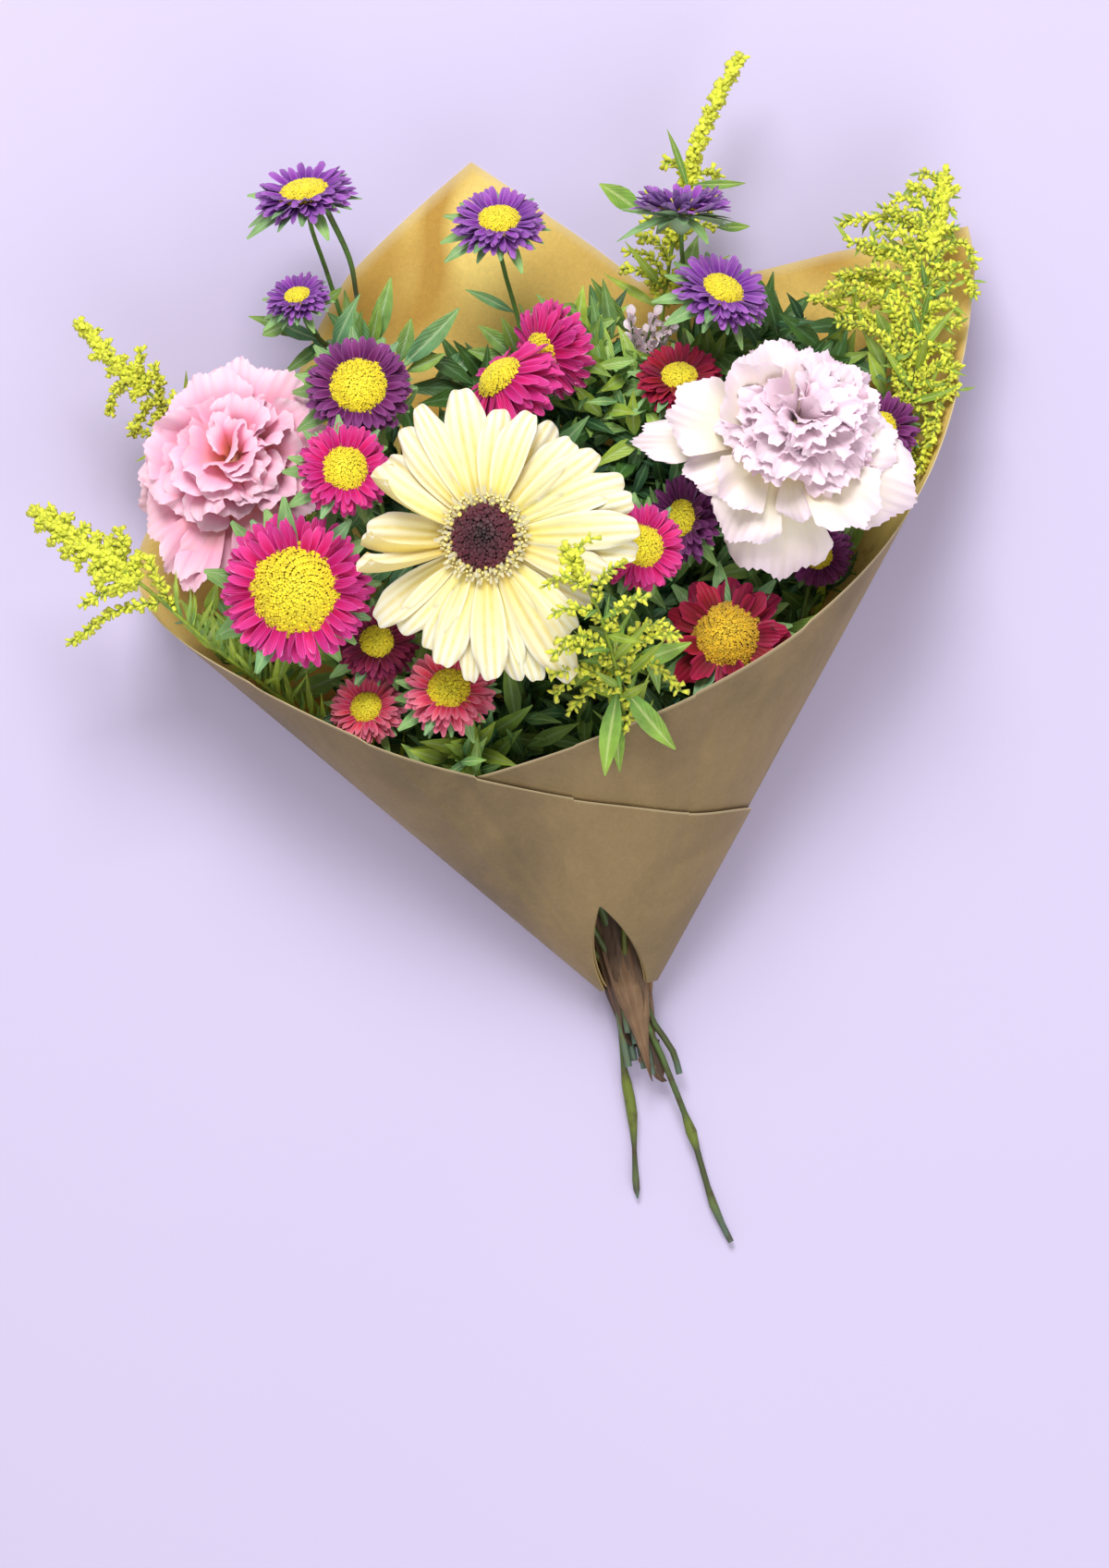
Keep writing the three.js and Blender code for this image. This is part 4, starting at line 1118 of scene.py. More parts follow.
@dataclass(frozen=True)
class Aster(Bloom):
    """A china aster or daisy: rings of narrow rays round a dome of yellow florets."""

    disc: float = 0.43
    rays: int = 34
    rings: int = 3
    ray_share: float = 0.088
    seed: int = 1
    cup: float = -5.0
    loose: float = 0.5
    florets: Floret = YELLOW_FLORETS
    outline: tuple[float, ...] = (0.5, 0.8, 0.95, 1.0, 0.95, 0.75)
    ray_forms: tuple[tuple[float, ...], ...] = (
        (1.0, 0.0, 0.06, 0.2, 0.3), (0.95, -0.16, 0.02, 0.5, -0.35), (1.0, 0.06, 0.1, 0.1, 0.0),
        (0.9, -0.22, 0.12, 0.3, 0.5), (0.97, -0.05, -0.08, 0.4, -0.1),
    )  # fmt: skip

    @property
    def calyx(self) -> Calyx:
        """The aster's calyx, whose bracts bend back as far as its rays do.

        Returns:
            The calyx.
        """
        droop = math.radians(max(0.0, -5.0 - self.cup) * 1.25)
        long = self.across * (0.3 if droop else 0.48)
        return Calyx(0.13 * self.across, 0.19 * self.across, long, 0.14 * self.across, droop=droop)

    def build(self) -> None:
        """Makes the rays and the florets."""
        radius = self.across / 2
        disc = radius * self.disc
        hub = disc * 0.8
        long, width = radius - hub, self.across * self.ray_share
        forms = [
            Blade(long * share, width, self.outline, rows=5, columns=4, thickness=0.4, arch=arch, hook=hook,
                  fold=fold, roundness=0.45 * width / long, twist=twist)
            for share, arch, hook, fold, twist in self.ray_forms
        ]  # fmt: skip
        rays = SHAPES.rings.grow(
            Variants=variants(self.name, *forms), Count=self.rays * self.rings, Rings=self.rings,
            Outer_Radius=hub * MM, Inner_Radius=hub * 0.95 * MM, Top=2.4 * MM,
            Outer_Cup=math.radians(self.cup), Inner_Cup=math.radians(self.cup + 20), Inner_Size=0.9,
            Sway=0.5, Lift=math.radians(9) * self.loose, Roll=0.5 * self.loose, Thrift=0.07, Seed=self.seed,
            Material=self.colour.material,
        )  # fmt: skip
        piece = joined(f"{self.name}_petals", [rays], self.matrix)
        finish_piece(piece, self.colour.slot, f"{self.name}_rays")
        profile = [
            (disc * 0.9, 0.3), (disc * 0.96, 2.0), (disc * 0.6, self.across * 0.07 + 0.9),
            (disc * 0.2, self.across * 0.085 + 0.9),
        ]  # fmt: skip
        base = dressed(lathe(self.name, profile, 12), self.florets.material())
        count = int(90 + disc * 36)
        pitch = disc * math.sqrt(math.pi / count)
        dome = SHAPES.dome.grow(
            Variants=florets("florets", SHUT, FLARED), Count=count, Inner_Radius=0.0, Radius=disc * MM,
            Height=self.across * 0.075 * MM, Lean=math.radians(55), Middle_Size=pitch * 1.6,
            Edge_Size=pitch * 1.9, Seed=self.seed, Material=self.florets.material(),
        )  # fmt: skip
        piece = joined(f"{self.name}_florets", [base, lifted(dome, 1.2)], self.matrix)
        finish_piece(piece, "discs_yellow", f"{self.name}_disc")


@dataclass(frozen=True)
class PlacedPetal:
    """A petal set one by one: its direction (90 is up in the view), how far its tip is from the middle, its
    width, its cup and roll in degrees, and which shape it has."""

    turn: float
    reach: float
    width: float
    cup: float = 0.0
    roll: float = 0.0
    shape: int = 0


def place_petals(name: str, petals: Sequence[PlacedPetal], shapes: Sequence[Blade], root: float, layer: float,
                 material: bpy.types.Material) -> bpy.types.Mesh:  # fmt: skip
    """Grows petals, set one by one, round a middle.

    Args:
        name: what the petals belong to.
        petals: the petals, in order round the middle.
        shapes: the shapes that they pick from.
        root: how far from the middle they start.
        layer: how much higher every second and third petal starts.
        material: their material.

    Returns:
        One mesh, in the bloom's own frame.
    """
    turns = np.radians([petal.turn for petal in petals])
    rise = layer * (np.arange(len(petals)) * 2 % 3)
    says = (
        turns,
        np.radians([petal.cup for petal in petals]),
        np.radians([petal.roll for petal in petals]),
        [(petal.reach - root) / shapes[petal.shape].length for petal in petals],
        [petal.width / shapes[petal.shape].width for petal in petals],
        [petal.shape for petal in petals],
    )
    places = np.stack([root * np.cos(turns), root * np.sin(turns), rise], -1)
    base = mesh_of(name, places, [], **dict(zip(PETAL_SAYS, says)))
    collection = variants(f"{name}_placed", *shapes)
    return SHAPES.placed.grow(base, Variants=collection, Seed=3, Material=material)


GERBERA_RAYS = tuple(PlacedPetal(*row) for row in (
    (-6, 61, 15, 0, 10, 1), (3, 62, 16, 5, -5, 0), (13, 61, 15, 1, 8, 2), (24, 59, 16, 6, -8, 3),
    (36, 56, 15, 2, 10, 0), (47, 52, 16, 7, -6, 2), (59, 53, 16, 2, 12, 3), (71, 53, 15, 6, -10, 1),
    (83, 52, 15, 2, 6, 0), (100, 61, 17, 4, -8, 2), (116, 60, 13, 1, 14, 0), (128, 55, 15, 6, -6, 3),
    (142, 52, 16, 1, 8, 1), (160, 51, 15, 12, 38, 4), (177, 48, 17, 5, -12, 2), (193, 49, 16, -2, 58, 4),
    (203, 52, 13, 6, 48, 4), (216, 56, 15, -4, 10, 1), (229, 50, 15, 4, -12, 3), (241, 50, 14, -1, 8, 0),
    (251, 54, 15, 4, -6, 2), (263, 58, 11, -3, 16, 1), (273, 57, 15, 3, -4, 0), (282, 58, 14, 0, 10, 3),
    (291, 61, 13, -4, -10, 1), (301, 67, 17, 2, 6, 0), (314, 52, 14, 5, -14, 2), (328, 49, 15, 0, 12, 3),
    (343, 52, 15, 5, -6, 0),
))  # fmt: skip


@dataclass(frozen=True)
class Gerbera(Bloom):
    """The cream gerbera: broad grooved rays of uneven length, a short fringe and a dark disc."""

    rays: tuple[PlacedPetal, ...] = GERBERA_RAYS
    ray_length: float = 42.0
    ray_width: float = 15.0
    outline: tuple[float, ...] = (0.3, 0.55, 0.8, 0.95, 1.0, 0.98, 0.84)
    ray_forms: tuple[tuple[float, ...], ...] = (
        (0.02, 0.08, 0.06, 3, 0.35, 0.1, 0.02), (-0.04, 0.14, 0.16, 4, 0.3, -0.15, 0.03),
        (0.06, 0.04, 0.02, 3, 0.45, 0.2, 0.025), (0.0, 0.16, -0.08, 4, 0.35, -0.05, 0.035),
        (-0.1, -0.1, 0.7, 4, 0.4, 0.35, 0.02),
    )  # fmt: skip
    hub: float = 11.0
    disc: float = 12.0
    disc_profile: Profile = ((11.2, 2.0), (11.2, 4.0), (8.0, 6.4), (3.0, 7.0))

    @property
    def calyx(self) -> Calyx:
        """The gerbera's deep cup and narrow bracts."""
        return Calyx(10.0, 12.0, 13.5, 3.0, bracts=20, cup=0.5)

    def fringe(self) -> bpy.types.Mesh:
        """Makes the short rays that stand round the disc."""
        blade = Blade(8.5, 1.7, (0.6, 0.9, 1.0, 0.5), arch=-0.05, fold=0.3)
        return SHAPES.rings.grow(
            Variants=variants("fringe", blade), Count=88, Rings=2, Outer_Radius=11.0 * MM,
            Inner_Radius=10.5 * MM, Top=1.2 * MM, Outer_Cup=math.radians(16), Inner_Cup=math.radians(34),
            Inner_Size=0.8, Sway=0.4, Lift=math.radians(9), Roll=0.4, Thrift=0.15, Seed=9,
            Material=self.colour.material,
        )  # fmt: skip

    def build(self) -> None:
        """Makes the rays, the fringe and the disc."""
        shapes = [
            Blade(self.ray_length, self.ray_width, self.outline, rows=14, columns=16, thickness=0.5,
                  arch=arch, hook=hook, fold=fold, grooves=grooves, groove_depth=depth, roundness=0.16,
                  teeth=2, tooth_depth=0.012, twist=twist, waves=0.9, ruffle=ruffle, phase=10 * twist)
            for arch, hook, fold, grooves, depth, twist, ruffle in self.ray_forms
        ]  # fmt: skip
        rays = place_petals(self.name, self.rays, shapes, self.hub, 1.0, self.colour.material)
        petals = joined("gerbera_petals", [rays, lifted(self.fringe(), 2.6)], self.matrix)
        finish_piece(petals, self.colour.slot, "gerbera_rays")
        meshes = [dressed(lathe(self.name, self.disc_profile, 20), DARK_FLORETS.material())]
        for count, inner, outer, height, lean, middle, edge, seed, lift, finish in (
            (240, 0.0, self.disc * 0.98, 4.6, 45, 1.8, 3.0, 4, 2.8, DARK_FLORETS),
            (150, self.disc, 16.5, 1.6, 50, 2.0, 1.5, 6, 3.8, CREAM_FLORETS),
        ):
            dome = SHAPES.dome.grow(
                Variants=florets("florets", SHUT, FLARED), Count=count, Inner_Radius=inner * MM,
                Radius=outer * MM, Height=height * MM, Lean=math.radians(lean), Middle_Size=middle,
                Edge_Size=edge, Seed=seed, Material=finish.material(),
            )  # fmt: skip
            meshes.append(lifted(dome, lift))
        finish_piece(joined("gerbera_florets", meshes, self.matrix), "disc_dark", "gerbera_disc")


@dataclass(frozen=True)
class Carnation(Bloom):
    """A carnation: a skirt of broad fan petals, and over it a dense ball of small ruffled ones."""

    heart: Colour
    skirt: tuple[PlacedPetal, ...] = ()
    shift: tuple[float, float] = (0.0, 0.0)
    ruffles: int = 70
    ruffle_length: float = 22.0
    ruffle_width: float = 16.0
    softness: float = 1.0
    seed: int = 1
    skirt_outline: tuple[float, ...] = (0.12, 0.28, 0.55, 0.82, 1.0, 0.96)
    skirt_forms: tuple[tuple[float, ...], ...] = (
        (-0.1, 0.16, 0.1, 1.3, 0.07, 0.4), (-0.2, 0.24, 0.2, 1.7, 0.06, 1.9),
        (0.05, 0.1, 0.0, 1.5, 0.08, 3.3), (-0.3, 0.1, 0.45, 2.0, 0.055, 5.0),
    )  # fmt: skip
    ball_outline: tuple[float, ...] = (0.15, 0.3, 0.6, 0.9, 1.0, 0.96)
    ball_forms: tuple[tuple[float, ...], ...] = (
        (0.1, 0.1, 1.3, 0.06, 0.4), (-0.1, 0.2, 1.9, 0.07, 1.9), (0.2, 0.0, 1.5, 0.08, 3.3),
        (-0.05, 0.25, 2.3, 0.06, 5.0), (0.25, -0.1, 1.1, 0.09, 2.6),
    )  # fmt: skip

    @property
    def calyx(self) -> Calyx:
        """The carnation's long narrow tube with a few short bracts."""
        return Calyx(4.8, 19.0, 6.0, 3.0, bracts=5, cup=0.9, rows=1)

    def skirt_petals(self) -> bpy.types.Mesh:
        """Makes the broad petals, which lie level under the ball.

        Returns:
            The petals as one mesh.
        """
        shapes = [
            Blade(40.0, 34.0, self.skirt_outline, rows=14, columns=30, arch=arch, hook=hook, fold=fold,
                  roundness=0.26, teeth=13, tooth_depth=0.03, waves=waves, ruffle=ruffle, frills=9,
                  frill=0.014, phase=phase)
            for arch, hook, fold, waves, ruffle, phase in self.skirt_forms
        ]  # fmt: skip
        petals = place_petals(self.name, self.skirt, shapes, 3.0, 1.6, self.colour.material)
        petals.transform(Matrix.Translation((VIEW.place(self.at) - UP * 2.0) * MM))
        return petals

    def ball(self) -> bpy.types.Mesh:
        """Makes the small petals, which stand out from a low dome in all directions.

        Returns:
            The petals as one mesh.
        """
        shapes = [
            Blade(self.ruffle_length, self.ruffle_width, self.ball_outline, rows=8, columns=18, arch=arch,
                  hook=hook, fold=0.15, roundness=0.25, teeth=9, tooth_depth=0.05 * self.softness,
                  waves=waves, ruffle=ruffle, frills=6, frill=0.035 * self.softness,
                  phase=phase).mesh(self.name)
            for arch, hook, waves, ruffle, phase in self.ball_forms
        ]  # fmt: skip
        for shape in shapes:
            shape.transform(Matrix.Rotation(math.radians(-90), 4, "Y"))
        petals = SHAPES.dome.grow(
            Variants=variants(f"{self.name}_ball", *shapes), Count=self.ruffles, Inner_Radius=0.0,
            Radius=9.0 * MM, Height=6.0 * MM, Lean=math.radians(80), Middle_Size=0.95, Edge_Size=1.05,
            Spin=0.9, Seed=self.seed, Material=self.heart.material,
        )  # fmt: skip
        petals.transform(self.matrix)
        petals.transform(Matrix.Translation((self.shift[0] * MM, self.shift[1] * MM, 1.0 * MM)))
        return petals

    def build(self) -> None:
        """Makes the petals."""
        petals = joined(f"{self.name}_ruffles", [self.skirt_petals(), self.ball()])
        finish_piece(petals, self.colour.slot, f"{self.name}_petals")


ASTERS = [
    Aster("aster_violet_tall", (330, 213, 75), 42, 60, 100, Colour.VIOLET, disc=0.48, seed=11),
    Aster("aster_violet_small", (323, 325, 70), 27, 50, 105, Colour.VIOLET, rays=30, ray_share=0.1, seed=12),
    Aster("aster_violet_back", (540, 243, 62), 39, 46, 90, Colour.VIOLET, disc=0.46, seed=13),
    Aster("aster_violet_edge", (737, 230, 80), 42, 80, 90, Colour.VIOLET, seed=14, cup=14),
    Aster("aster_violet_right", (780, 318, 85), 41, 48, 65, Colour.VIOLET, seed=15),
    Aster("aster_plum_left", (388, 420, 90), 44, 15, 90, Colour.PLUM, disc=0.54, seed=16),
    Aster("aster_magenta_left", (373, 509, 108), 39, 15, 60, Colour.MAGENTA, disc=0.48, seed=17),
    Aster("aster_magenta_large", (320, 638, 102), 63, 10, 230, Colour.MAGENTA, disc=0.56, rays=38,
          ray_share=0.072, seed=18, loose=1.1),
    Aster("aster_magenta_side", (543, 412, 93), 54, 60, 135, Colour.MAGENTA, disc=0.34, seed=19, cup=-46),
    Aster("aster_magenta_back", (590, 381, 74), 46, 54, 200, Colour.MAGENTA, disc=0.34, seed=20, cup=-40),
    Aster("aster_coral_front", (487, 748, 95), 38, 25, 100, Colour.CORAL, disc=0.48, seed=21),
    Aster("aster_coral_low", (398, 768, 72), 32, 25, 120, Colour.CORAL, seed=22),
    Aster("aster_maroon", (408, 697, 80), 34, 20, 90, Colour.MAROON, seed=23),
    Aster("aster_magenta_right", (693, 592, 108), 37, 20, 15, Colour.MAGENTA, disc=0.48, seed=24),
    Aster("aster_plum_centre", (742, 562, 74), 38, 45, 170, Colour.PLUM, seed=25),
    Aster("aster_crimson_back", (735, 412, 74), 36, 40, 90, Colour.CRIMSON, seed=26),
    Aster("daisy_crimson", (787, 690, 74), 54, 15, 100, Colour.CRIMSON, disc=0.5, rays=12, rings=2,
          ray_share=0.2, seed=27, florets=GOLD_FLORETS),
    Aster("aster_plum_far_right", (952, 465, 52), 34, 30, 100, Colour.PLUM, seed=28),
    Aster("aster_plum_low", (885, 598, 60), 30, 30, 270, Colour.PLUM, seed=29),
]  # fmt: skip
GERBERA = Gerbera("gerbera", (525, 582, 126), 108, 8, 150, Colour.CREAM)
BLUSH_SKIRT = tuple(PlacedPetal(*row) for row in (
    (177, 60, 20, 2, 10, 2), (160, 50, 34, 14, -8, 1), (197, 42, 26, 10, 12, 0), (128, 45, 32, 28, 6, 3),
    (103, 44, 34, 26, -6, 0), (80, 42, 34, 28, 8, 1), (55, 42, 32, 26, -8, 0), (25, 42, 32, 18, 8, 2),
    (0, 46, 32, 8, -6, 1), (-22, 57, 40, 2, 10, 0), (-45, 48, 34, 8, -10, 3), (-68, 34, 26, 22, 8, 1),
    (-92, 53, 44, -2, -4, 2), (-118, 44, 32, 6, 10, 0), (-140, 36, 28, 12, -8, 3),
))  # fmt: skip
PINK_SKIRT = tuple(PlacedPetal(*row) for row in (
    (12, 36, 30, 8, -6, 0), (33, 43, 34, 6, 8, 1), (62, 48, 36, 8, -6, 0), (84, 47, 34, 14, 6, 2),
    (104, 44, 36, 6, -8, 1), (128, 40, 34, 12, 6, 0), (150, 39, 34, 5, -6, 3), (172, 38, 34, 10, 8, 1),
    (196, 40, 34, 4, -6, 2), (218, 42, 34, 10, 6, 0), (236, 48, 24, -2, -10, 3), (250, 51, 20, 2, 16, 3),
    (268, 44, 28, 6, -8, 0), (298, 36, 30, 6, 6, 1), (336, 34, 30, 10, -6, 2),
))  # fmt: skip
CARNATIONS = [
    Carnation("carnation_blush", (848, 482, 100), 90, 34, 70, Colour.BLUSH, Colour.BLUSH_HEART, BLUSH_SKIRT,
              (5.0, 7.5), ruffles=100, ruffle_length=24.0, softness=0.6, seed=21),
    Carnation("carnation_pink", (254, 515, 70), 72, 22, 120, Colour.PINK, Colour.PINK, PINK_SKIRT, (0.0, 5.0),
              ruffles=44, ruffle_length=21.0, ruffle_width=21.0, softness=0.4, seed=22),
]  # fmt: skip
BLOOMS: dict[str, Bloom] = {bloom.name: bloom for bloom in [*ASTERS, GERBERA, *CARNATIONS]}


def clear_of_blooms(points: np.ndarray) -> np.ndarray:
    """Says which points (in millimetres) neither touch a bloom nor hide its face.

    Args:
        points: places in the object's frame.

    Returns:
        True for each point that is clear.
    """
    clear = np.ones(points.shape[:-1], bool)
    for bloom in BLOOMS.values():
        local = (points - np.array(VIEW.place(bloom.at))) @ np.array(bloom.matrix.to_3x3())
        clear &= (np.hypot(local[..., 0], local[..., 1]) > bloom.across * 0.5) | (local[..., 2] < -2.5)
    spike = VIEW.place(STATICE.ahead[-1])
    return clear & (np.hypot(points[..., 0] - spike.x, points[..., 1] - spike.y + 3) > 9)


# ---------- The paper ----------


@dataclass(frozen=True)
class PaperCone:
    """One kraft sheet wound into a cone that overlaps at the front.

    Round the cone 0 is on the table, 90 is to the right and 180 is the front. Each crease has its
    angle, its half width and its depth; the rim has its length along the cone at each angle.
    """

    neck: Place = (686, 1099, 0)
    lean: float = 10.8
    thickness: float = 0.5
    half_width_per_length: float = 0.81
    height_at_neck: float = 12.0
    height_per_length: float = 0.83
    flat_angle: float = 17.0
    roundness: float = 1.3
    lap: float = 1.9
    lap_from: float = 150.0
    lap_to: float = 360.0
    mouth: float = 13.0
    slit_middle: float = 188.0
    slit_half: float = 50.0
    slit_top: float = 49.0
    slit_point: float = 1.5
    columns: int = 320
    rows: int = 60
    softening: int = 16
    open_from: float = 118.0
    dent: float = 3.0
    dent_reach: float = 52.0
    # how far in from the rim the kraft's painted highlight reaches
    rim_highlight_reach: float = 0.9
    creases: tuple[tuple[float, float, float], ...] = (
        (214, 3.0, -1.1), (197, 2.4, 0.9), (171, 2.6, -1.2), (158, 3.4, 1.0), (146, 2.2, -1.3),
        (128, 3.0, 0.9), (101, 2.6, -1.0), (74, 2.2, 1.1), (48, 3.0, -1.2), (27, 2.4, 1.0), (-18, 2.6, 1.2),
        (-34, 3.0, -1.1), (-71, 2.6, 1.0), (-100, 3.0, -1.0), (-131, 2.6, 1.1), (-146, 2.0, -1.2),
        (-163, 3.0, 1.0), (-189, 2.8, -1.0), (-202, 2.4, 1.1), (-214, 2.8, -1.1), (-232, 2.6, 1.0),
    )  # fmt: skip
    rim: tuple[tuple[float, float], ...] = (
        (232, 109), (210, 109), (182, 114), (152, 125), (124, 143), (90, 186), (70, 236), (60, 278),
        (55, 294.5), (36, 296), (26, 294.5), (14, 300), (6, 333), (0, 362), (-13, 325), (-25, 276),
        (-90, 191), (-109, 165), (-127, 129), (-150, 109), (-174, 92.5), (-214, 78), (-270, 76), (-278, 75),
    )  # fmt: skip

    @property
    def forward(self) -> Vector:
        """The cone's direction on the table, from the neck to the tips."""
        return Vector((-math.sin(math.radians(self.lean)), math.cos(math.radians(self.lean)), 0))

    def inside(self, along: float, lateral: float, height: float) -> Vector:
        """The place at a length along the cone, to the side and over the table.

        Args:
            along: how far up the cone.
            lateral: how far to its side.
            height: how far over the table.

        Returns:
            The place.
        """
        across = Vector((self.forward.y, -self.forward.x, 0))
        point = VIEW.place(self.neck) + self.forward * along + across * lateral
        point.z = height
        return point

    def measure(self, points: np.ndarray) -> tuple[np.ndarray, np.ndarray]:
        """How far points (in millimetres) are along the cone and to its side.

        Args:
            points: the points.

        Returns:
            How far along each point is, and how far to the side.
        """
        start, ahead = VIEW.place(self.neck), self.forward
        x, y = points[..., 0] - start.x, points[..., 1] - start.y
        return x * ahead.x + y * ahead.y, x * ahead.y - y * ahead.x

    def sheet_height(self, angle: np.ndarray, tall: np.ndarray) -> np.ndarray:
        """How high the sheet stands at an angle round the cone, where it is so tall.

        Args:
            angle: degrees round the cone.
            tall: the cone's height there.

        Returns:
            The height over the table.
        """
        turned = (1 - np.cos(np.radians(angle))) / 2
        flat = (1 - math.cos(math.radians(self.flat_angle))) / 2
        return tall * np.maximum(0, (turned - flat) / (1 - flat)) ** self.roundness

    def sheet(self, angle: np.ndarray, along: np.ndarray, inset: float) -> np.ndarray:
        """Points of the sheet.

        Args:
            angle: where round the cone, in degrees.
            along: how far along it.
            inset: how far inside the sheet's outer face.

        Returns:
            One row for each point.
        """
        wound = np.clip((self.rim[0][0] - angle - self.lap_from) / (self.lap_to - self.lap_from), 0, 1)
        out = self.lap * wound
        half = self.half_width_per_length * along + out - inset
        tall = self.height_at_neck + self.height_per_length * along + 1.2 * out - 2 * inset
        lateral = half * np.sin(np.radians(angle))
        start, ahead = VIEW.place(self.neck), self.forward
        x = start.x + ahead.x * along + ahead.y * lateral
        y = start.y + ahead.y * along - ahead.x * lateral
        return np.stack([x, y, inset + self.sheet_height(angle, tall)], -1)

    def holds(self, points: np.ndarray) -> np.ndarray:
        """Says which points (in millimetres) are clear of the sheet: inside it, or above its open front.

        Args:
            points: the points.

        Returns:
            True for each point that is clear.
        """
        along, lateral = self.measure(points)
        half = np.maximum(self.half_width_per_length * along, 1.0)
        tall = self.height_at_neck + self.height_per_length * along
        angle = np.degrees(np.arcsin(np.clip(np.abs(lateral) / half, 0, 1)))
        low, high = self.sheet_height(angle, tall), self.sheet_height(180 - angle, tall)
        open_front = along > self.open_from + 0.45 * np.abs(lateral)
        z = points[..., 2]
        return (z > low + 2.5) & ((z < high - 3) | open_front) & (np.abs(lateral) < half - 2)

    def reaches(self, points: np.ndarray) -> np.ndarray:
        """Says which points (in millimetres) are over or under the sheet, seen from above.

        Args:
            points: the points.

        Returns:
            True for each point that the sheet is over or under.
        """
        along, lateral = self.measure(points)
        half = self.half_width_per_length * np.maximum(along, 1.0)
        around = np.degrees(np.arcsin(np.clip(lateral / half, -1, 1)))
        rim = np.interp(-around, [-angle for angle, _ in self.rim], [reach for _, reach in self.rim])
        return (np.abs(lateral) < half + 4) & (along < rim + 4)

    def crumple(self, points: np.ndarray, angle: np.ndarray, along: np.ndarray) -> np.ndarray:
        """Dents the sheet a little, as a hand-wound one is, but for what is on the table.

        Args:
            points: the sheet's points.
            angle: where each is round the cone.
            along: how far along it each is.

        Returns:
            The moved points.
        """
        moved = points.copy()
        for i, (x, y, z) in enumerate(points):
            hold = min(1.0, z / 12.0) * min(1.0, along[i] / 60.0)
            place = Vector((x, y, z * 0.6)) / self.dent_reach
            dent = noise.noise(place) * self.dent + noise.noise(place * 2.7) * 1.0
            off = ((depth, (angle[i] - at) / wide) for at, wide, depth in self.creases)
            crease = sum(depth * math.exp(-(share**2)) for depth, share in off)
            moved[i, 2] += hold * (dent + crease * min(1.0, along[i] / 100.0))
        return moved

    def rim_at(self, angle: np.ndarray) -> np.ndarray:
        """How far along the cone the sheet reaches at each angle, with the back's corners left sharp.

        Args:
            angle: degrees round the cone.

        Returns:
            The length from the neck to the rim.
        """
        turns, reach = np.array(self.rim).T
        rim = np.interp(-angle, -turns, reach)
        window = np.hanning(2 * self.softening + 3)[1:-1]
        soft = np.convolve(np.pad(rim, self.softening, mode="edge"), window, mode="valid") / window.sum()
        return rim + (soft - rim) * np.clip((np.abs(angle) - 60) / 25, 0, 1)

    def faces(self, width: int) -> list[tuple[int, int, int, int]]:
        """The faces between the points of the outer and the inner side, which have so many in a row.

        Args:
            width: how many points a row has.

        Returns:
            The corners of each face.
        """
        count = (self.rows + 1) * width
        faces = []
        for i in range(self.rows):
            for j in range(width - 1):
                a, d = i * width + j, (i + 1) * width + j
                faces += [(a, a + 1, d + 1, d), (d + count, d + 1 + count, a + 1 + count, a + count)]
        for j in range(width - 1):
            top = self.rows * width + j
            faces += [(top, top + 1, top + 1 + count, top + count), (j + count, j + 1 + count, j + 1, j)]
        for i in range(self.rows):
            near, far = i * width, (i + 1) * width
            end, beyond = near + width - 1, far + width - 1
            faces += [(near, far, far + count, near + count), (end + count, beyond + count, beyond, end)]
        return faces

    def build(self) -> None:
        """Makes the sheet as one thin closed form, with its inside, its rim and its laps."""
        turns = [angle for angle, _ in self.rim]
        angle = np.unique(np.concatenate([np.linspace(turns[0], turns[-1], self.columns), turns]))[::-1]
        rim = self.rim_at(angle)
        off = np.abs((angle - self.slit_middle + 180) % 360 - 180)
        slit = np.maximum(0, 1 - off / self.slit_half) ** self.slit_point
        low = self.mouth + (self.slit_top - self.mouth) * slit
        along = low + (rim - low) * np.linspace(0, 1, self.rows + 1)[:, None]
        grid = np.broadcast_to(angle, along.shape)
        shells = [self.sheet(grid, along, inset).reshape(-1, 3) for inset in (0.0, self.thickness)]
        points = np.concatenate([self.crumple(shell, grid.ravel(), along.ravel()) for shell in shells])
        from_rim = (rim - along).ravel()
        # the rim value marks the painted highlight along the sheet's cut edge
        sheet = mesh_of(
            "kraft_cone", points, self.faces(len(angle)), inside=np.repeat([0.0, 1.0], along.size),
            rim=np.tile(np.clip(1 - from_rim / self.rim_highlight_reach, 0, 1), 2) * 0.7,
        )  # fmt: skip
        mesh = dressed(sheet, KRAFT_PAPER.material())
        mesh.shade_smooth()
        edge = range(self.rows * len(angle), along.size)
        sharpen(mesh, {*edge, *(point + along.size for point in edge)})
        finish_piece(joined("kraft_cone", [mesh]), "kraft_paper", "paper_wrap")


PAPER = PaperCone()


# ---------- Stems ----------


class Ring(Enum):
    """The rings of the round bundle that the stems are gathered in, by their radius."""

    CENTRE = 0.0
    INNER = 3.45
    OUTER = 6.5


@dataclass(frozen=True)
class Slot:
    """A stem's place in the bundle."""

    ring: Ring
    angle: float
    height: float = 10.8

    def at(self, along: float) -> Vector:
        """The place in the bundle at a length along it."""
        out, angle = self.ring.value, math.radians(self.angle)
        return PAPER.inside(along, out * math.cos(angle), self.height + out * math.sin(angle))


def route(places: Path, leave: Vector, arrive: Vector, spacing: float) -> list[Vector]:
    """Finds a smooth curve through places.

    Args:
        places: the places, in order.
        leave: the curve's direction at the first.
        arrive: its direction at the last.
        spacing: about how far apart its points are.

    Returns:
        The curve's points.
    """
    last = len(places) - 1
    inner = [(places[i + 1] - places[i - 1]).normalized() for i in range(1, last)]
    headings = [leave, *inner, arrive]
    points = [places[0]]
    for i in range(last):
        start, end = places[i], places[i + 1]
        reach = (end - start).length
        handle, back = start + headings[i] * reach / 3, end - headings[i + 1] * reach / 3
        steps = max(2, math.ceil(reach / spacing))
        points += geometry.interpolate_bezier(start, handle, back, end, steps + 1)[1:]
    return points


def heading(start: Vector, end: Vector) -> Vector:
    """The direction from one place to another."""
    return (end - start).normalized()


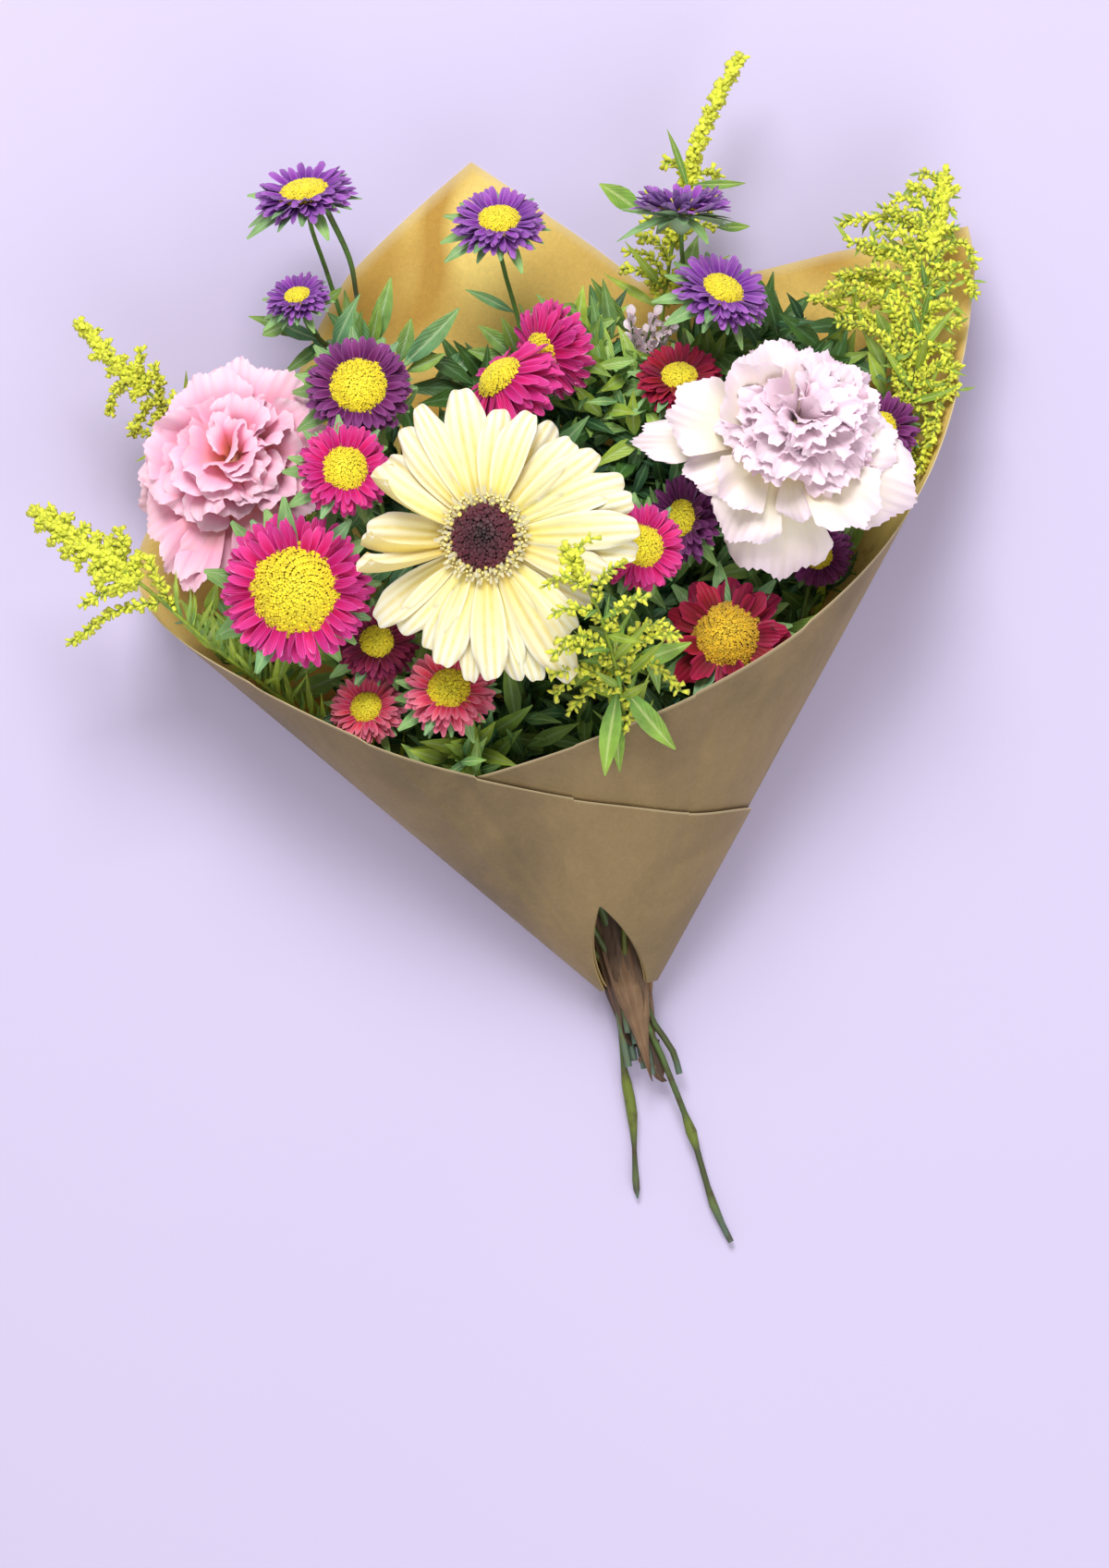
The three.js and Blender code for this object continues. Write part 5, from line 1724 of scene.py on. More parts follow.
def chain_route(chain: Sequence[Place], spacing: float = 3.0) -> list[Vector]:
    """Finds a smooth curve that leaves its first place and meets its last one straight on."""
    points = VIEW.places(chain)
    return route(points, heading(*points[:2]), heading(*points[-2:]), spacing)


def stretch(points: Path, far: float, near: float) -> list[Vector]:
    """The part of a path between two distances from its tip.

    Args:
        points: the path, which ends at its tip.
        far: where the part starts, from the tip.
        near: where it ends, from the tip.

    Returns:
        The points of the part.
    """
    left, kept = 0.0, []
    previous = points[-1]
    for point in reversed(points):
        left += (point - previous).length
        if near <= left <= far:
            kept.append(point)
        previous = point
    return kept[::-1]


@dataclass(frozen=True)
class LeafKind:
    """A kind of leaf on a stem."""

    low: float
    high: float
    slimness: float
    finish: Leaf
    spacing: float
    raised: float = 38.0
    rows: int = 6
    columns: int = 4
    outline: tuple[float, ...] = (0.08, 0.55, 0.95, 1.0, 0.72, 0.38, 0.06)
    forms: tuple[tuple[float, float], ...] = ((0.12, 0.2), (0.25, -0.25), (0.05, 0.0), (0.34, 0.35))

    def along(self, paths: Sequence[Path], seed: int) -> list[bpy.types.Mesh]:
        """Grows leaves on the paths and leaves out those that the paper has no room for.

        Args:
            paths: the stems.
            seed: what the leaves are drawn with.

        Returns:
            The leaves of all the paths, or nothing where there is no path.
        """
        paths = [path for path in paths if len(path) > 1]
        if not paths:
            return []
        shapes = [
            Blade(1.0, self.slimness, self.outline, rows=self.rows, columns=self.columns, thickness=0.012,
                  arch=arch, fold=0.3, twist=twist)
            for arch, twist in self.forms
        ]  # fmt: skip
        leaves = SHAPES.along.grow(
            paths_of("leafy", paths), Variants=variants("leaves", *shapes), Spacing=self.spacing * MM,
            Raise=math.radians(self.raised), Ruffle=0.35, Low_Size=self.low, High_Size=self.high, Seed=seed,
            Material=self.finish.material(),
        )  # fmt: skip
        upper = (self.rows + 1) * (self.columns + 1)
        return keep_islands(leaves, upper + (self.rows - 1) * (self.columns - 1))


def keep_islands(mesh: bpy.types.Mesh, size: int) -> list[bpy.types.Mesh]:
    """Deletes the leaves that would go through the paper or a bloom.

    Args:
        mesh: leaves one after the other, each with the same number of points.
        size: how many points a leaf has.

    Returns:
        The mesh, or nothing if no leaf is left.
    """
    points = np.zeros(len(mesh.vertices) * 3, np.float32)
    mesh.vertices.foreach_get("co", points)
    islands = points.reshape(-1, size, 3) / MM
    clear = (PAPER.holds(islands) | ~PAPER.reaches(islands)) & clear_of_blooms(islands)
    away = ~clear[:, size // 4 :].all(axis=1)
    if away.all():
        return []
    shape = bmesh.new()
    shape.from_mesh(mesh)
    drop = [point for point, gone in zip(shape.verts, np.repeat(away, size)) if gone]
    bmesh.ops.delete(shape, geom=drop, context="VERTS")
    shape.to_mesh(mesh)
    shape.free()
    return [mesh]


ASTER_LEAF = LeafKind(22.0, 38.0, 0.27, FOLIAGE, 8.0)
GOLDENROD_LEAF = LeafKind(14.0, 30.0, 0.14, GOLDENROD_FOLIAGE, 2.6)
NEEDLE_LEAF = LeafKind(10.0, 22.0, 0.11, GOLDENROD_FOLIAGE, 0.7, raised=34.0, rows=4, columns=2)
TWIG_LEAF = LeafKind(4.0, 10.0, 0.2, GOLDENROD_FOLIAGE, 5.5, rows=4, columns=2)
LARGE_LEAF_OUTLINE = (0.1, 0.55, 0.9, 1.0, 0.86, 0.5, 0.08)
SHUT_HEAD = ((0.1, 0.0), (0.26, 0.4), (0.27, 0.9), (0.1, 1.35))
OPEN_HEAD = ((0.1, 0.0), (0.22, 0.4), (0.42, 1.2), (0.16, 1.05))
CUP_OUTLINE = (0.25, 0.6, 0.95, 1.0, 0.8)
STEM_STEP = 9.0
BUNDLE_END = 20.0


def set_blade(blade: Blade, finish: Leaf, tint: float, place: Vector, axes: Path) -> bpy.types.Mesh:
    """Makes one leaf and puts it in its place.

    Args:
        blade: its form.
        finish: its kind of green or brown.
        tint: where it is between the finish's two colours.
        place: where it starts, in millimetres.
        axes: where its length, its side and its upper side point.

    Returns:
        The leaf's mesh.
    """
    mesh = dressed(blade.mesh("leaf"), finish.material())
    store(mesh, "tint", [tint] * len(mesh.vertices))
    mesh.transform(Matrix.Translation(place * MM) @ Matrix(axes).transposed().to_4x4())
    return mesh


def large_leaf(root: Place, tip: Place, width: float, finish: Leaf, tint: float) -> bpy.types.Mesh:
    """Makes one arched leaf, with its upper side up.

    Args:
        root: where it leaves the stem.
        tip: where it ends.
        width: its width.
        finish: its kind of green.
        tint: where it is between the finish's two greens.

    Returns:
        The leaf's mesh, in its place.
    """
    start = VIEW.place(root)
    reach = VIEW.place(tip) - start
    arch = 0.16
    blade = Blade(reach.length, width, LARGE_LEAF_OUTLINE, 12, 6, arch=arch, fold=0.25, twist=0.2)
    ahead = (reach + UP * arch * reach.length).normalized()
    side = UP.cross(ahead).normalized()
    return set_blade(blade, finish, tint, start, (ahead, side, ahead.cross(side)))


def main_stem(
    slot: Slot, tail: float | Sequence[Place], ahead: Path, arrive: Vector | None = None
) -> list[Vector]:
    """Leads a stem from its cut end through the bundle and on through its places.

    Args:
        slot: its place in the bundle.
        tail: how far out it is cut off, or the places from its cut end on.
        ahead: the places past the bundle.
        arrive: its direction at the last place, if it isn't straight on.

    Returns:
        The stem's points.
    """
    start = slot.at(BUNDLE_END)
    if isinstance(tail, (int, float)):
        beyond = [slot.at(-tail), slot.at(0)]
    else:
        cut = VIEW.places(tail)
        beyond = route([*cut, slot.at(2)], heading(*cut[:2]), PAPER.forward, STEM_STEP)
    leave = heading(start, ahead[0]).lerp(PAPER.forward, 0.3).normalized()
    return [*beyond, *route([start, *ahead], leave, arrive or heading(*ahead[-2:]), STEM_STEP)]


def taper(points: Path, start: float, end: float) -> list[float]:
    """A radius for each point, evenly thinner."""
    return [start + (end - start) * i / (len(points) - 1) for i in range(len(points))]


@dataclass(frozen=True)
class Sheath:
    """Brown wilted leaves that wrap the bundle and its rubber band where they leave the paper."""

    leaves: int = 10
    start: float = 66.0
    length: float = 90.0
    width: float = 17.0
    radius: float = 10.4
    layer: float = 0.25
    height: float = 10.8
    first: float = 6.0
    last: float = 174.0
    outline: tuple[float, ...] = (0.5, 0.85, 1.0, 0.95, 0.8, 0.5, 0.12)
    seed: int = 5

    def meshes(self) -> list[bpy.types.Mesh]:
        """Makes the wilted leaves, which start inside the slit and close in past the mouth.

        Returns:
            The leaves.
        """
        random = np.random.default_rng(self.seed)
        origin = PAPER.inside(0, 0, 0)
        meshes = []
        for k in range(self.leaves):
            turn = (k * 3 % self.leaves) / (self.leaves - 1)
            around = math.radians(self.first + (self.last - self.first) * turn)
            start = self.start + random.uniform(-16, 2)
            long = self.length * random.uniform(0.62, 1.0)
            out = self.radius + self.layer * k
            place = PAPER.inside(start, out * math.cos(around), self.height + out * math.sin(around))
            skew = random.uniform(-0.1, 0.02) * math.cos(around) + 0.03
            back = heading(origin, PAPER.inside(-1, skew, 0))
            up = PAPER.inside(0, math.cos(around), math.sin(around)) - origin
            up = (up - back * up.dot(back)).normalized()
            blade = Blade(
                long, self.width * random.uniform(0.7, 1.1), self.outline, rows=28, columns=12, thickness=0.4,
                hook=0.1, fold=-0.42, waves=random.uniform(0.6, 1.4), ruffle=0.02,
                twist=random.uniform(-0.45, 0.45), phase=3.0 * k, grooves=5, groove_depth=0.16, frills=2,
                frill=0.03, roundness=0.2,
            )  # fmt: skip
            axes = (back, up.cross(back), up)
            meshes.append(set_blade(blade, WILTED_LEAF, random.uniform(0, 1), place, axes))
        return meshes


class Green(Enum):
    """The greens of the leafy shoots: in the shade, in the light, and young."""

    DEEP = 0
    LIT = 1
    YOUNG = 2


@dataclass(frozen=True)
class Patch:
    """Where leafy shoots end: an ellipse in the view's pixels, their height and their green."""

    middle: tuple[float, float]
    reach: tuple[float, float]
    height: float
    count: int
    green: Green


@dataclass(frozen=True)
class Shoot:
    """A short leafy shoot on a spray."""

    path: list[Vector]
    green: Green


SHOOT_LEAVES = {
    Green.DEEP: LeafKind(15.0, 30.0, 0.27, DEEP_FOLIAGE, 5.0, raised=32.0, rows=4, columns=2),
    Green.LIT: LeafKind(16.0, 31.0, 0.25, MID_FOLIAGE, 5.0, raised=35.0, rows=5, columns=4),
    Green.YOUNG: LeafKind(11.0, 24.0, 0.3, YOUNG_FOLIAGE, 4.2, raised=40.0, rows=5, columns=4),
}


@dataclass(frozen=True)
class Spray:
    """A branching leafy stem of asters.

    The first bloom ends the main stem and the others branch off at the fork, each past its own places.
    """

    name: str
    slot: Slot
    tail: float | tuple[Place, ...]
    fork: Place
    blooms: dict[str, tuple[Place, ...]]
    seed: int
    bare: float = 14.0
    sheath: Sheath | None = None
    large_leaves: tuple[tuple[Place, Place, float], ...] = ()
    twigs: tuple[tuple[Place, ...], ...] = ()
    leafless_neck: float = 95.0

    def paths(self) -> list[list[Vector]]:
        """The main stem's path and the branches' paths.

        Returns:
            The paths, the main one first.
        """
        fork = VIEW.place(self.fork)
        (first, first_ways), *others = (
            (BLOOMS[name], [fork, *VIEW.places(vias), BLOOMS[name].foot])
            for name, vias in self.blooms.items()
        )
        main = main_stem(self.slot, self.tail, first_ways, first.facing)
        beyond = min(range(len(main)), key=lambda i: (main[i] - fork).length)
        ahead = heading(main[beyond - 1], main[beyond + 1])
        return [main, *(route(ways, ahead, bloom.facing, STEM_STEP) for bloom, ways in others)]

    def build(self, shoots: Sequence[Shoot]) -> None:
        """Makes the stems, the calyxes and the leaves.

        Args:
            shoots: the short leafy shoots that grow from this spray.
        """
        main, *branches = self.paths()
        twigs = [chain_route(twig, 4.0) for twig in self.twigs]
        radii = [taper(main, 1.45, 0.95), *(taper(branch, 1.25, 0.95) for branch in branches)]
        radii += [taper(shoot.path, 0.6, 0.35) for shoot in shoots]
        radii += [taper(twig, 1.0, 1.3) for twig in twigs]
        paths = [main, *branches, *(shoot.path for shoot in shoots), *twigs]
        stems = SHAPES.stems.grow(paths_of(self.name, paths, radii), Sides=7, Material=STEM_SKIN.material())
        neck = VIEW.place(PAPER.neck)
        leafy = [
            [point for point in path if (point - neck).length > self.leafless_neck]
            for path in (stretch(main, 190, self.bare), *(stretch(branch, 150, 10) for branch in branches))
        ]
        meshes = [stems, *ASTER_LEAF.along(leafy, self.seed)]
        for green, leaf in SHOOT_LEAVES.items():
            leafy = [shoot.path for shoot in shoots if shoot.green is green]
            meshes += leaf.along(leafy, self.seed + green.value)
        for name in self.blooms:
            meshes += BLOOMS[name].calyx.meshes(name, BLOOMS[name].matrix, 0.95)
        meshes += self.sheath.meshes() if self.sheath else []
        for i, leaf in enumerate(self.large_leaves):
            meshes.append(large_leaf(*leaf, FOLIAGE, 0.3 + 0.7 * (i % 3) / 2))
        finish_piece(joined(f"{self.name}_stems", meshes), "foliage_green", self.name)


@dataclass(frozen=True)
class Undergrowth:
    """Short leafy shoots that fill the cone under the blooms, each from the nearest stem."""

    patches: tuple[Patch, ...]
    longest: float = 85.0
    rough: float = 9.0
    seed: int = 77

    def nearest(self, tip: Vector, stems: np.ndarray) -> int | None:
        """Picks where on the stems a shoot starts.

        Args:
            tip: where the shoot ends.
            stems: the stems' points, one row for each.

        Returns:
            The point's number, or None if the tip has no room or all stems are too far off.
        """
        here = np.array(tuple(tip))
        if not PAPER.holds(here) or not clear_of_blooms(here):
            return None
        gap = stems - here
        ahead = gap @ np.array(tuple(PAPER.forward))
        too_high, too_far = np.maximum(0, gap[:, 2] + 12), np.maximum(0, ahead + 14)
        cost = np.linalg.norm(gap, axis=1) + 0.6 * too_high + 0.6 * too_far
        nearest = int(cost.argmin())
        return nearest if np.linalg.norm(gap[nearest]) <= self.longest else None

    def shoots(self) -> dict[str, list[Shoot]]:
        """Gives the shoots by the name of the spray that they grow from.

        Returns:
            The shoots of each spray, none for a spray that has no room for them.
        """
        random = np.random.default_rng(self.seed)
        starts = [
            (spray.name, path[i], heading(path[i - 1], path[i + 1]))
            for spray in SPRAYS
            for path in spray.paths()
            for i in range(4, len(path) - 2)
        ]
        stems = np.array([tuple(point) for _, point, _ in starts])
        shoots: dict[str, list[Shoot]] = {spray.name: [] for spray in SPRAYS}
        for patch in self.patches:
            for _ in range(patch.count):
                turn, out, lift, *sway = random.uniform(0, 1, 6)
                across = patch.middle[0] + patch.reach[0] * math.sqrt(out) * math.cos(math.tau * turn)
                down = patch.middle[1] + patch.reach[1] * math.sqrt(out) * math.sin(math.tau * turn)
                tip = VIEW.place((across, down, patch.height + self.rough * (2 * lift - 1)))
                nearest = self.nearest(tip, stems)
                if nearest is None:
                    continue
                owner, start, leave = starts[nearest]
                arrive = PAPER.forward * 0.5 + UP * 0.6 + Vector(sway) - Vector((0.5, 0.5, 0.5))
                path = route([start, tip], leave, arrive.normalized(), 5.0)
                shoots[owner].append(Shoot(path, patch.green))
        return shoots


UNDERGROWTH = Undergrowth(tuple(Patch(*row) for row in (
    ((500, 425), (60, 14), 48, 7, Green.DEEP), ((560, 400), (30, 20), 50, 5, Green.LIT),
    ((655, 392), (62, 44), 56, 16, Green.LIT), ((655, 405), (72, 52), 42, 24, Green.DEEP),
    ((650, 480), (85, 60), 54, 36, Green.DEEP), ((690, 420), (50, 50), 64, 14, Green.YOUNG),
    ((640, 350), (50, 18), 56, 6, Green.YOUNG), ((780, 378), (60, 20), 52, 10, Green.LIT),
    ((860, 375), (46, 40), 44, 14, Green.DEEP), ((930, 400), (50, 60), 40, 8, Green.YOUNG),
    ((560, 785), (130, 48), 52, 44, Green.DEEP), ((600, 790), (90, 30), 66, 10, Green.LIT),
    ((715, 700), (70, 90), 60, 40, Green.DEEP), ((730, 690), (50, 60), 74, 12, Green.LIT),
    ((420, 740), (85, 50), 58, 26, Green.DEEP), ((440, 745), (60, 40), 70, 12, Green.YOUNG),
    ((850, 630), (95, 60), 40, 34, Green.DEEP), ((850, 620), (70, 30), 52, 10, Green.LIT),
    ((270, 690), (60, 36), 62, 16, Green.YOUNG), ((335, 378), (22, 14), 50, 3, Green.LIT),
    ((480, 545), (160, 85), 46, 36, Green.DEEP), ((790, 530), (110, 80), 42, 34, Green.DEEP),
    ((620, 620), (120, 90), 46, 34, Green.DEEP), ((500, 830), (40, 14), 84, 6, Green.YOUNG),
)))  # fmt: skip


@dataclass(frozen=True)
class SingleStem:
    """A leafless stem that carries one large bloom. Each knot has its place, its swelling and its reach."""

    bloom: str
    slot: Slot
    tail: float | tuple[Place, ...]
    via: tuple[Place, ...]
    radius: float = 1.45
    neck: float = 1.2
    knots: tuple[tuple[Place, float, float], ...] = ()
    point: float = 1.0

    def build(self) -> None:
        """Makes the stem, with its knots, and the calyx."""
        bloom = BLOOMS[self.bloom]
        path = main_stem(self.slot, self.tail, [*VIEW.places(self.via), bloom.foot], bloom.facing)
        radii = taper(path, self.radius, self.neck)
        for knot, swelling, reach in self.knots:
            at = VIEW.place(knot)
            for i, point in enumerate(path):
                radii[i] *= 1 + swelling * math.exp(-(((point - at).length / reach) ** 4))
        radii[0] *= self.point
        base = paths_of(self.bloom, [path], [radii])
        stem = SHAPES.stems.grow(base, Sides=10, Material=STEM_SKIN.material())
        meshes = [stem, *bloom.calyx.meshes(self.bloom, bloom.matrix, self.neck)]
        finish_piece(joined(f"{self.bloom}_stalk", meshes), "foliage_green", f"{self.bloom}_stem")


@dataclass(frozen=True)
class Goldenrod:
    """A goldenrod stem: leaves, and a plume of side branches thick with florets."""

    name: str
    slot: Slot
    tail: float
    ahead: tuple[Place, ...]
    branches: int
    reach: tuple[float, float]
    leafy: tuple[float, float]
    seed: int
    spike: float = 0.5
    large_leaves: tuple[tuple[Place, Place, float], ...] = ()
    floret: float = 2.1
    spacing: float = 0.5
    branching: float = 1.0
    right_share: float = 1.0
    twig_leaves: bool = True
    leaf: LeafKind = GOLDENROD_LEAF
    drooping: tuple[tuple[Place, ...], ...] = ()

    def side_branches(self, plume: Path) -> list[list[Vector]]:
        """Gives the paths of the side branches, in turn to either side, and of the drooping ones.

        Args:
            plume: the part of the main stem that they grow from.

        Returns:
            The paths.
        """
        random = np.random.default_rng(self.seed)
        branches = []
        for i in range(self.branches):
            share = (i + 0.3) / self.branches * self.branching
            first = int(share * (len(plume) - 1))
            at, nearer = plume[first], plume[min(first + 1, len(plume) - 1)]
            ahead = heading(at, nearer) if (nearer - at).length > 0 else heading(*plume[-2:])
            side = ahead.cross(UP).normalized() * (1 if i % 2 else -1)
            long = (self.reach[0] + (self.reach[1] - self.reach[0]) * share) * random.uniform(0.8, 1.1)
            long *= self.right_share if i % 2 else 1.0
            lift = UP * random.uniform(-0.1, 0.35)
            middle = at + (ahead * 0.5 + side * 0.36 + lift * 0.5) * long
            end = at + (ahead * 0.55 + side * 0.85 + lift) * long
            arrive = (side - ahead * 0.3).normalized()
            branches.append(route([at, middle, end], (ahead + side).normalized(), arrive, 3.0))
        return [*branches, *(chain_route(chain) for chain in self.drooping)]

    def build(self) -> None:
        """Makes the stem, the plume and the leaves."""
        places = VIEW.places(self.ahead)
        main = main_stem(self.slot, self.tail, places)
        start = min(range(len(main)), key=lambda i: (main[i] - places[1]).length)
        branches = self.side_branches(main[start:])
        radii = [taper(main, 1.45, 0.6), *(taper(branch, 0.5, 0.25) for branch in branches)]
        base = paths_of(self.name, [main, *branches], radii)
        stems = SHAPES.stems.grow(base, Sides=6, Material=GOLDENROD_SKIN.material())
        meshes = [stems, *self.leaf.along([stretch(main, *self.leafy)], self.seed)]
        if self.twig_leaves:
            meshes += TWIG_LEAF.along(branches, self.seed)
        meshes += [large_leaf(*leaf, GOLDENROD_FOLIAGE, 0.35) for leaf in self.large_leaves]
        spike = stretch(main, (main[-1] - main[start]).length * self.spike, 0)
        for paths, closer, larger in ((branches, 1.0, 1.0), ([spike], 0.35, 1.15)):
            meshes.append(SHAPES.along.grow(
                paths_of(self.name, paths), Spacing=self.spacing * closer * MM, Raise=math.radians(38),
                Variants=florets("heads", SHUT_HEAD, OPEN_HEAD, tipped=90), Ruffle=0.6, Seed=self.seed,
                Low_Size=self.floret * larger * 0.75, High_Size=self.floret * larger * 1.25,
                Material=GOLDENROD_FLORETS.material(),
            ))  # fmt: skip
        finish_piece(joined(f"{self.name}_plume", meshes), "goldenrod_yellow", self.name)


@dataclass(frozen=True)
class Statice:
    """A small spike of statice: papery pale pink florets on three short branches."""

    slot: Slot
    tail: float
    ahead: tuple[Place, ...]
    chains: tuple[tuple[Place, ...], ...]

    def build(self) -> None:
        """Makes the stem and its florets."""
        main = main_stem(self.slot, self.tail, VIEW.places(self.ahead))
        chains = [chain_route(chain) for chain in self.chains]
        radii = [taper(main, 1.45, 0.6), *(taper(chain, 0.5, 0.4) for chain in chains)]
        base = paths_of("statice", [main, *chains], radii)
        stems = SHAPES.stems.grow(base, Sides=6, Material=STEM_SKIN.material())
        cup = Blade(1.0, 0.7, CUP_OUTLINE, 4, 4, thickness=0.05, roundness=0.2, ruffle=0.12,
                    waves=2.5, arch=-0.2)  # fmt: skip
        spike = SHAPES.along.grow(
            paths_of("statice", chains), Variants=variants("statice", cup), Spacing=1.1 * MM,
            Raise=math.radians(45), Ruffle=0.6, Low_Size=3.5, High_Size=6.0, Seed=6,
            Material=Colour.STATICE.material,
        )  # fmt: skip
        finish_piece(joined("statice_spike", [stems, spike]), Colour.STATICE.slot, "statice")


SPRAYS = [
    Spray("spray_back_left", Slot(Ring.INNER, 252), 9, (400, 430, 42),
        {"aster_violet_tall": ((352, 290, 50),), "aster_violet_small": ()}, 31, bare=85.0,
        large_leaves=(((394, 380, 50), (386, 336, 58), 7.0), ((402, 378, 48), (425, 302, 56), 8.0),
        ((398, 384, 46), (412, 330, 60), 6.0), ((385, 370, 46), (356, 338, 52), 6.0), ((310, 352, 58),
        (284, 362, 56), 6.0), ((350, 330, 54), (370, 312, 60), 4.0)), twigs=(((386, 322, 50),
        (378, 280, 58), (352, 224, 67)),)),
    Spray("spray_back_centre", Slot(Ring.CENTRE, 0), 22, (600, 640, 36),
        {"aster_violet_back": ((566, 370, 42),), "aster_magenta_side": (), "aster_magenta_back": ()}, 32,
        bare=75.0, large_leaves=(((556, 338, 46), (505, 312, 55), 4.5), ((556, 385, 44), (520, 352, 56),
        7.0), ((560, 385, 44), (545, 345, 58), 6.0), ((520, 378, 44), (466, 416, 48), 9.0),
        ((548, 392, 44), (508, 378, 54), 7.0), ((562, 382, 42), (584, 350, 54), 7.0), ((590, 372, 44),
        (612, 330, 56), 6.0), ((604, 366, 42), (648, 330, 54), 7.0), ((610, 372, 42), (662, 352, 52),
        8.0))),
    Spray("spray_back_right", Slot(Ring.INNER, 324), 14, (735, 470, 42),
        {"aster_violet_edge": ((742, 320, 56),), "aster_violet_right": ()}, 33, bare=32.0),
    Spray("spray_front_left", Slot(Ring.INNER, 180), 18, (450, 790, 50),
        {"aster_magenta_large": ((350, 700, 60),), "aster_magenta_left": ((390, 620, 66),),
        "aster_plum_left": ((415, 560, 58),)}, 34, large_leaves=(((436, 396, 62), (498, 336, 66), 9.0),
        ((432, 392, 60), (446, 346, 68), 7.0), ((440, 402, 60), (482, 384, 62), 6.0), ((434, 400, 64),
        (470, 356, 58), 5.0))),
    Spray("spray_front", Slot(Ring.OUTER, 126), 6, (560, 880, 50), {"aster_coral_front": (),
        "aster_coral_low": (), "aster_maroon": ()}, 35, sheath=Sheath()),
    Spray("spray_centre_right", Slot(Ring.INNER, 36), 25, (695, 790, 50), {"aster_magenta_right": (),
        "aster_plum_centre": (), "aster_crimson_back": ((722, 560, 50),)}, 36),
    Spray("spray_right", Slot(Ring.OUTER, 18), ((735, 1162, 9), (728, 1138, 10)), (745, 880, 40),
        {"daisy_crimson": (), "aster_plum_low": ((860, 690, 52),),
        "aster_plum_far_right": ((910, 600, 40),)}, 37),
]  # fmt: skip
SINGLE_STEMS = [
    SingleStem("gerbera", Slot(Ring.INNER, 108), 11, ((566, 760, 62),), radius=2.0, neck=2.0),
    SingleStem("carnation_blush", Slot(Ring.OUTER, 54), ((791, 1344, 3), (772, 1304, 4), (748, 1225, 7),
        (716, 1143, 13)), ((765, 800, 40), (835, 650, 44)), knots=(((774, 1310, 4), 0.45, 5.0),
        ((748, 1225, 7), 0.85, 5.5)), radius=1.3),
    SingleStem("carnation_pink", Slot(Ring.OUTER, 198), ((690, 1297, 3), (688, 1278, 4), (684, 1206, 5),
        (675, 1155, 7), (671, 1110, 12)), ((420, 760, 36),), radius=0.95, knots=(((682, 1192, 5), 1.35,
        13.0), ((688, 1276, 4), 0.6, 6.0)), point=0.3),
]  # fmt: skip
GOLDENRODS = [
    Goldenrod("goldenrod_top", Slot(Ring.OUTER, 270), 17, ((690, 640, 14), (718, 330, 34),
        (742, 200, 40), (770, 120, 43), (800, 62, 45)), 12, (20, 7), (250, 95), 41, spike=0.8,
        branching=0.55, twig_leaves=False, floret=2.6, large_leaves=(((694, 230, 56), (650, 198, 60),
        9.0), ((776, 246, 60), (811, 246, 58), 4.0), ((745, 205, 46), (724, 140, 48), 3.0),
        ((750, 200, 46), (806, 200, 50), 4.0))),
    Goldenrod("goldenrod_right", Slot(Ring.OUTER, 342), 8, ((870, 690, 30), (982, 440, 46),
        (1004, 300, 46), (1024, 188, 44)), 34, (56, 10), (210, 40), 42, spike=0.42, floret=2.45,
        spacing=0.45, right_share=0.36, drooping=(((985, 430, 48), (1004, 455, 50), (996, 508, 57)),
        ((990, 400, 48), (1014, 425, 51), (1008, 480, 57)), ((978, 445, 46), (990, 480, 49),
        (984, 518, 53)), ((996, 370, 48), (1026, 385, 50), (1024, 430, 54)), ((975, 430, 46),
        (960, 455, 48), (968, 500, 46)), ((1000, 310, 48), (1040, 292, 48), (1054, 318, 49)),
        ((1004, 285, 48), (1040, 262, 48), (1056, 288, 47)), ((1000, 250, 46), (960, 236, 48),
        (912, 240, 46)), ((998, 290, 46), (960, 268, 50), (918, 262, 50)))),
    Goldenrod("goldenrod_left_upper", Slot(Ring.OUTER, 234), 12, ((320, 590, 24), (188, 448, 43),
        (130, 400, 54), (86, 350, 60)), 22, (8, 3.5), (180, 60), 43, spike=0.8, floret=2.3, spacing=0.32,
        branching=0.9, twig_leaves=False, drooping=(((176, 450, 46), (172, 425, 50), (167, 396, 52)),
        ((160, 438, 48), (150, 455, 46), (142, 470, 44)), ((186, 460, 44), (166, 470, 44),
        (144, 462, 44)), ((152, 420, 50), (151, 400, 52), (152, 380, 54)), ((142, 412, 52),
        (126, 422, 52), (118, 446, 50)))),
    Goldenrod("goldenrod_left_lower", Slot(Ring.OUTER, 162), 20, ((222, 692, 82), (150, 630, 86),
        (90, 590, 82), (38, 553, 75)), 30, (12, 4.5), (215, 62), 44, spike=0.95, floret=2.5,
        spacing=0.32, branching=0.96, twig_leaves=False, leaf=NEEDLE_LEAF, drooping=(((172, 652, 84),
        (125, 662, 80), (76, 696, 74)), ((150, 632, 85), (118, 640, 86), (92, 652, 84)), ((128, 612, 85),
        (134, 590, 88), (128, 572, 88)), ((190, 660, 82), (172, 632, 88), (161, 606, 90)))),
    Goldenrod("goldenrod_front", Slot(Ring.OUTER, 90), 7, ((680, 860, 77), (672, 750, 119),
        (645, 655, 150), (612, 595, 158)), 10, (32, 12), (130, 10), 45, spacing=0.75, spike=0.35,
        floret=2.7, twig_leaves=False, drooping=(((668, 722, 122), (634, 722, 124), (600, 752, 118)),
        ((670, 728, 121), (640, 745, 120), (618, 768, 114)), ((672, 724, 122), (705, 718, 122),
        (736, 748, 116)), ((672, 735, 120), (682, 765, 116), (676, 790, 110)), ((668, 700, 128),
        (700, 680, 130), (728, 690, 126))), large_leaves=(((668, 748, 117), (652, 838, 112), 8.5),
        ((675, 745, 118), (728, 812, 110), 9.0), ((676, 720, 122), (748, 698, 118), 8.0),
        ((668, 755, 115), (668, 835, 100), 6.0), ((664, 700, 128), (620, 742, 116), 6.0))),
]  # fmt: skip
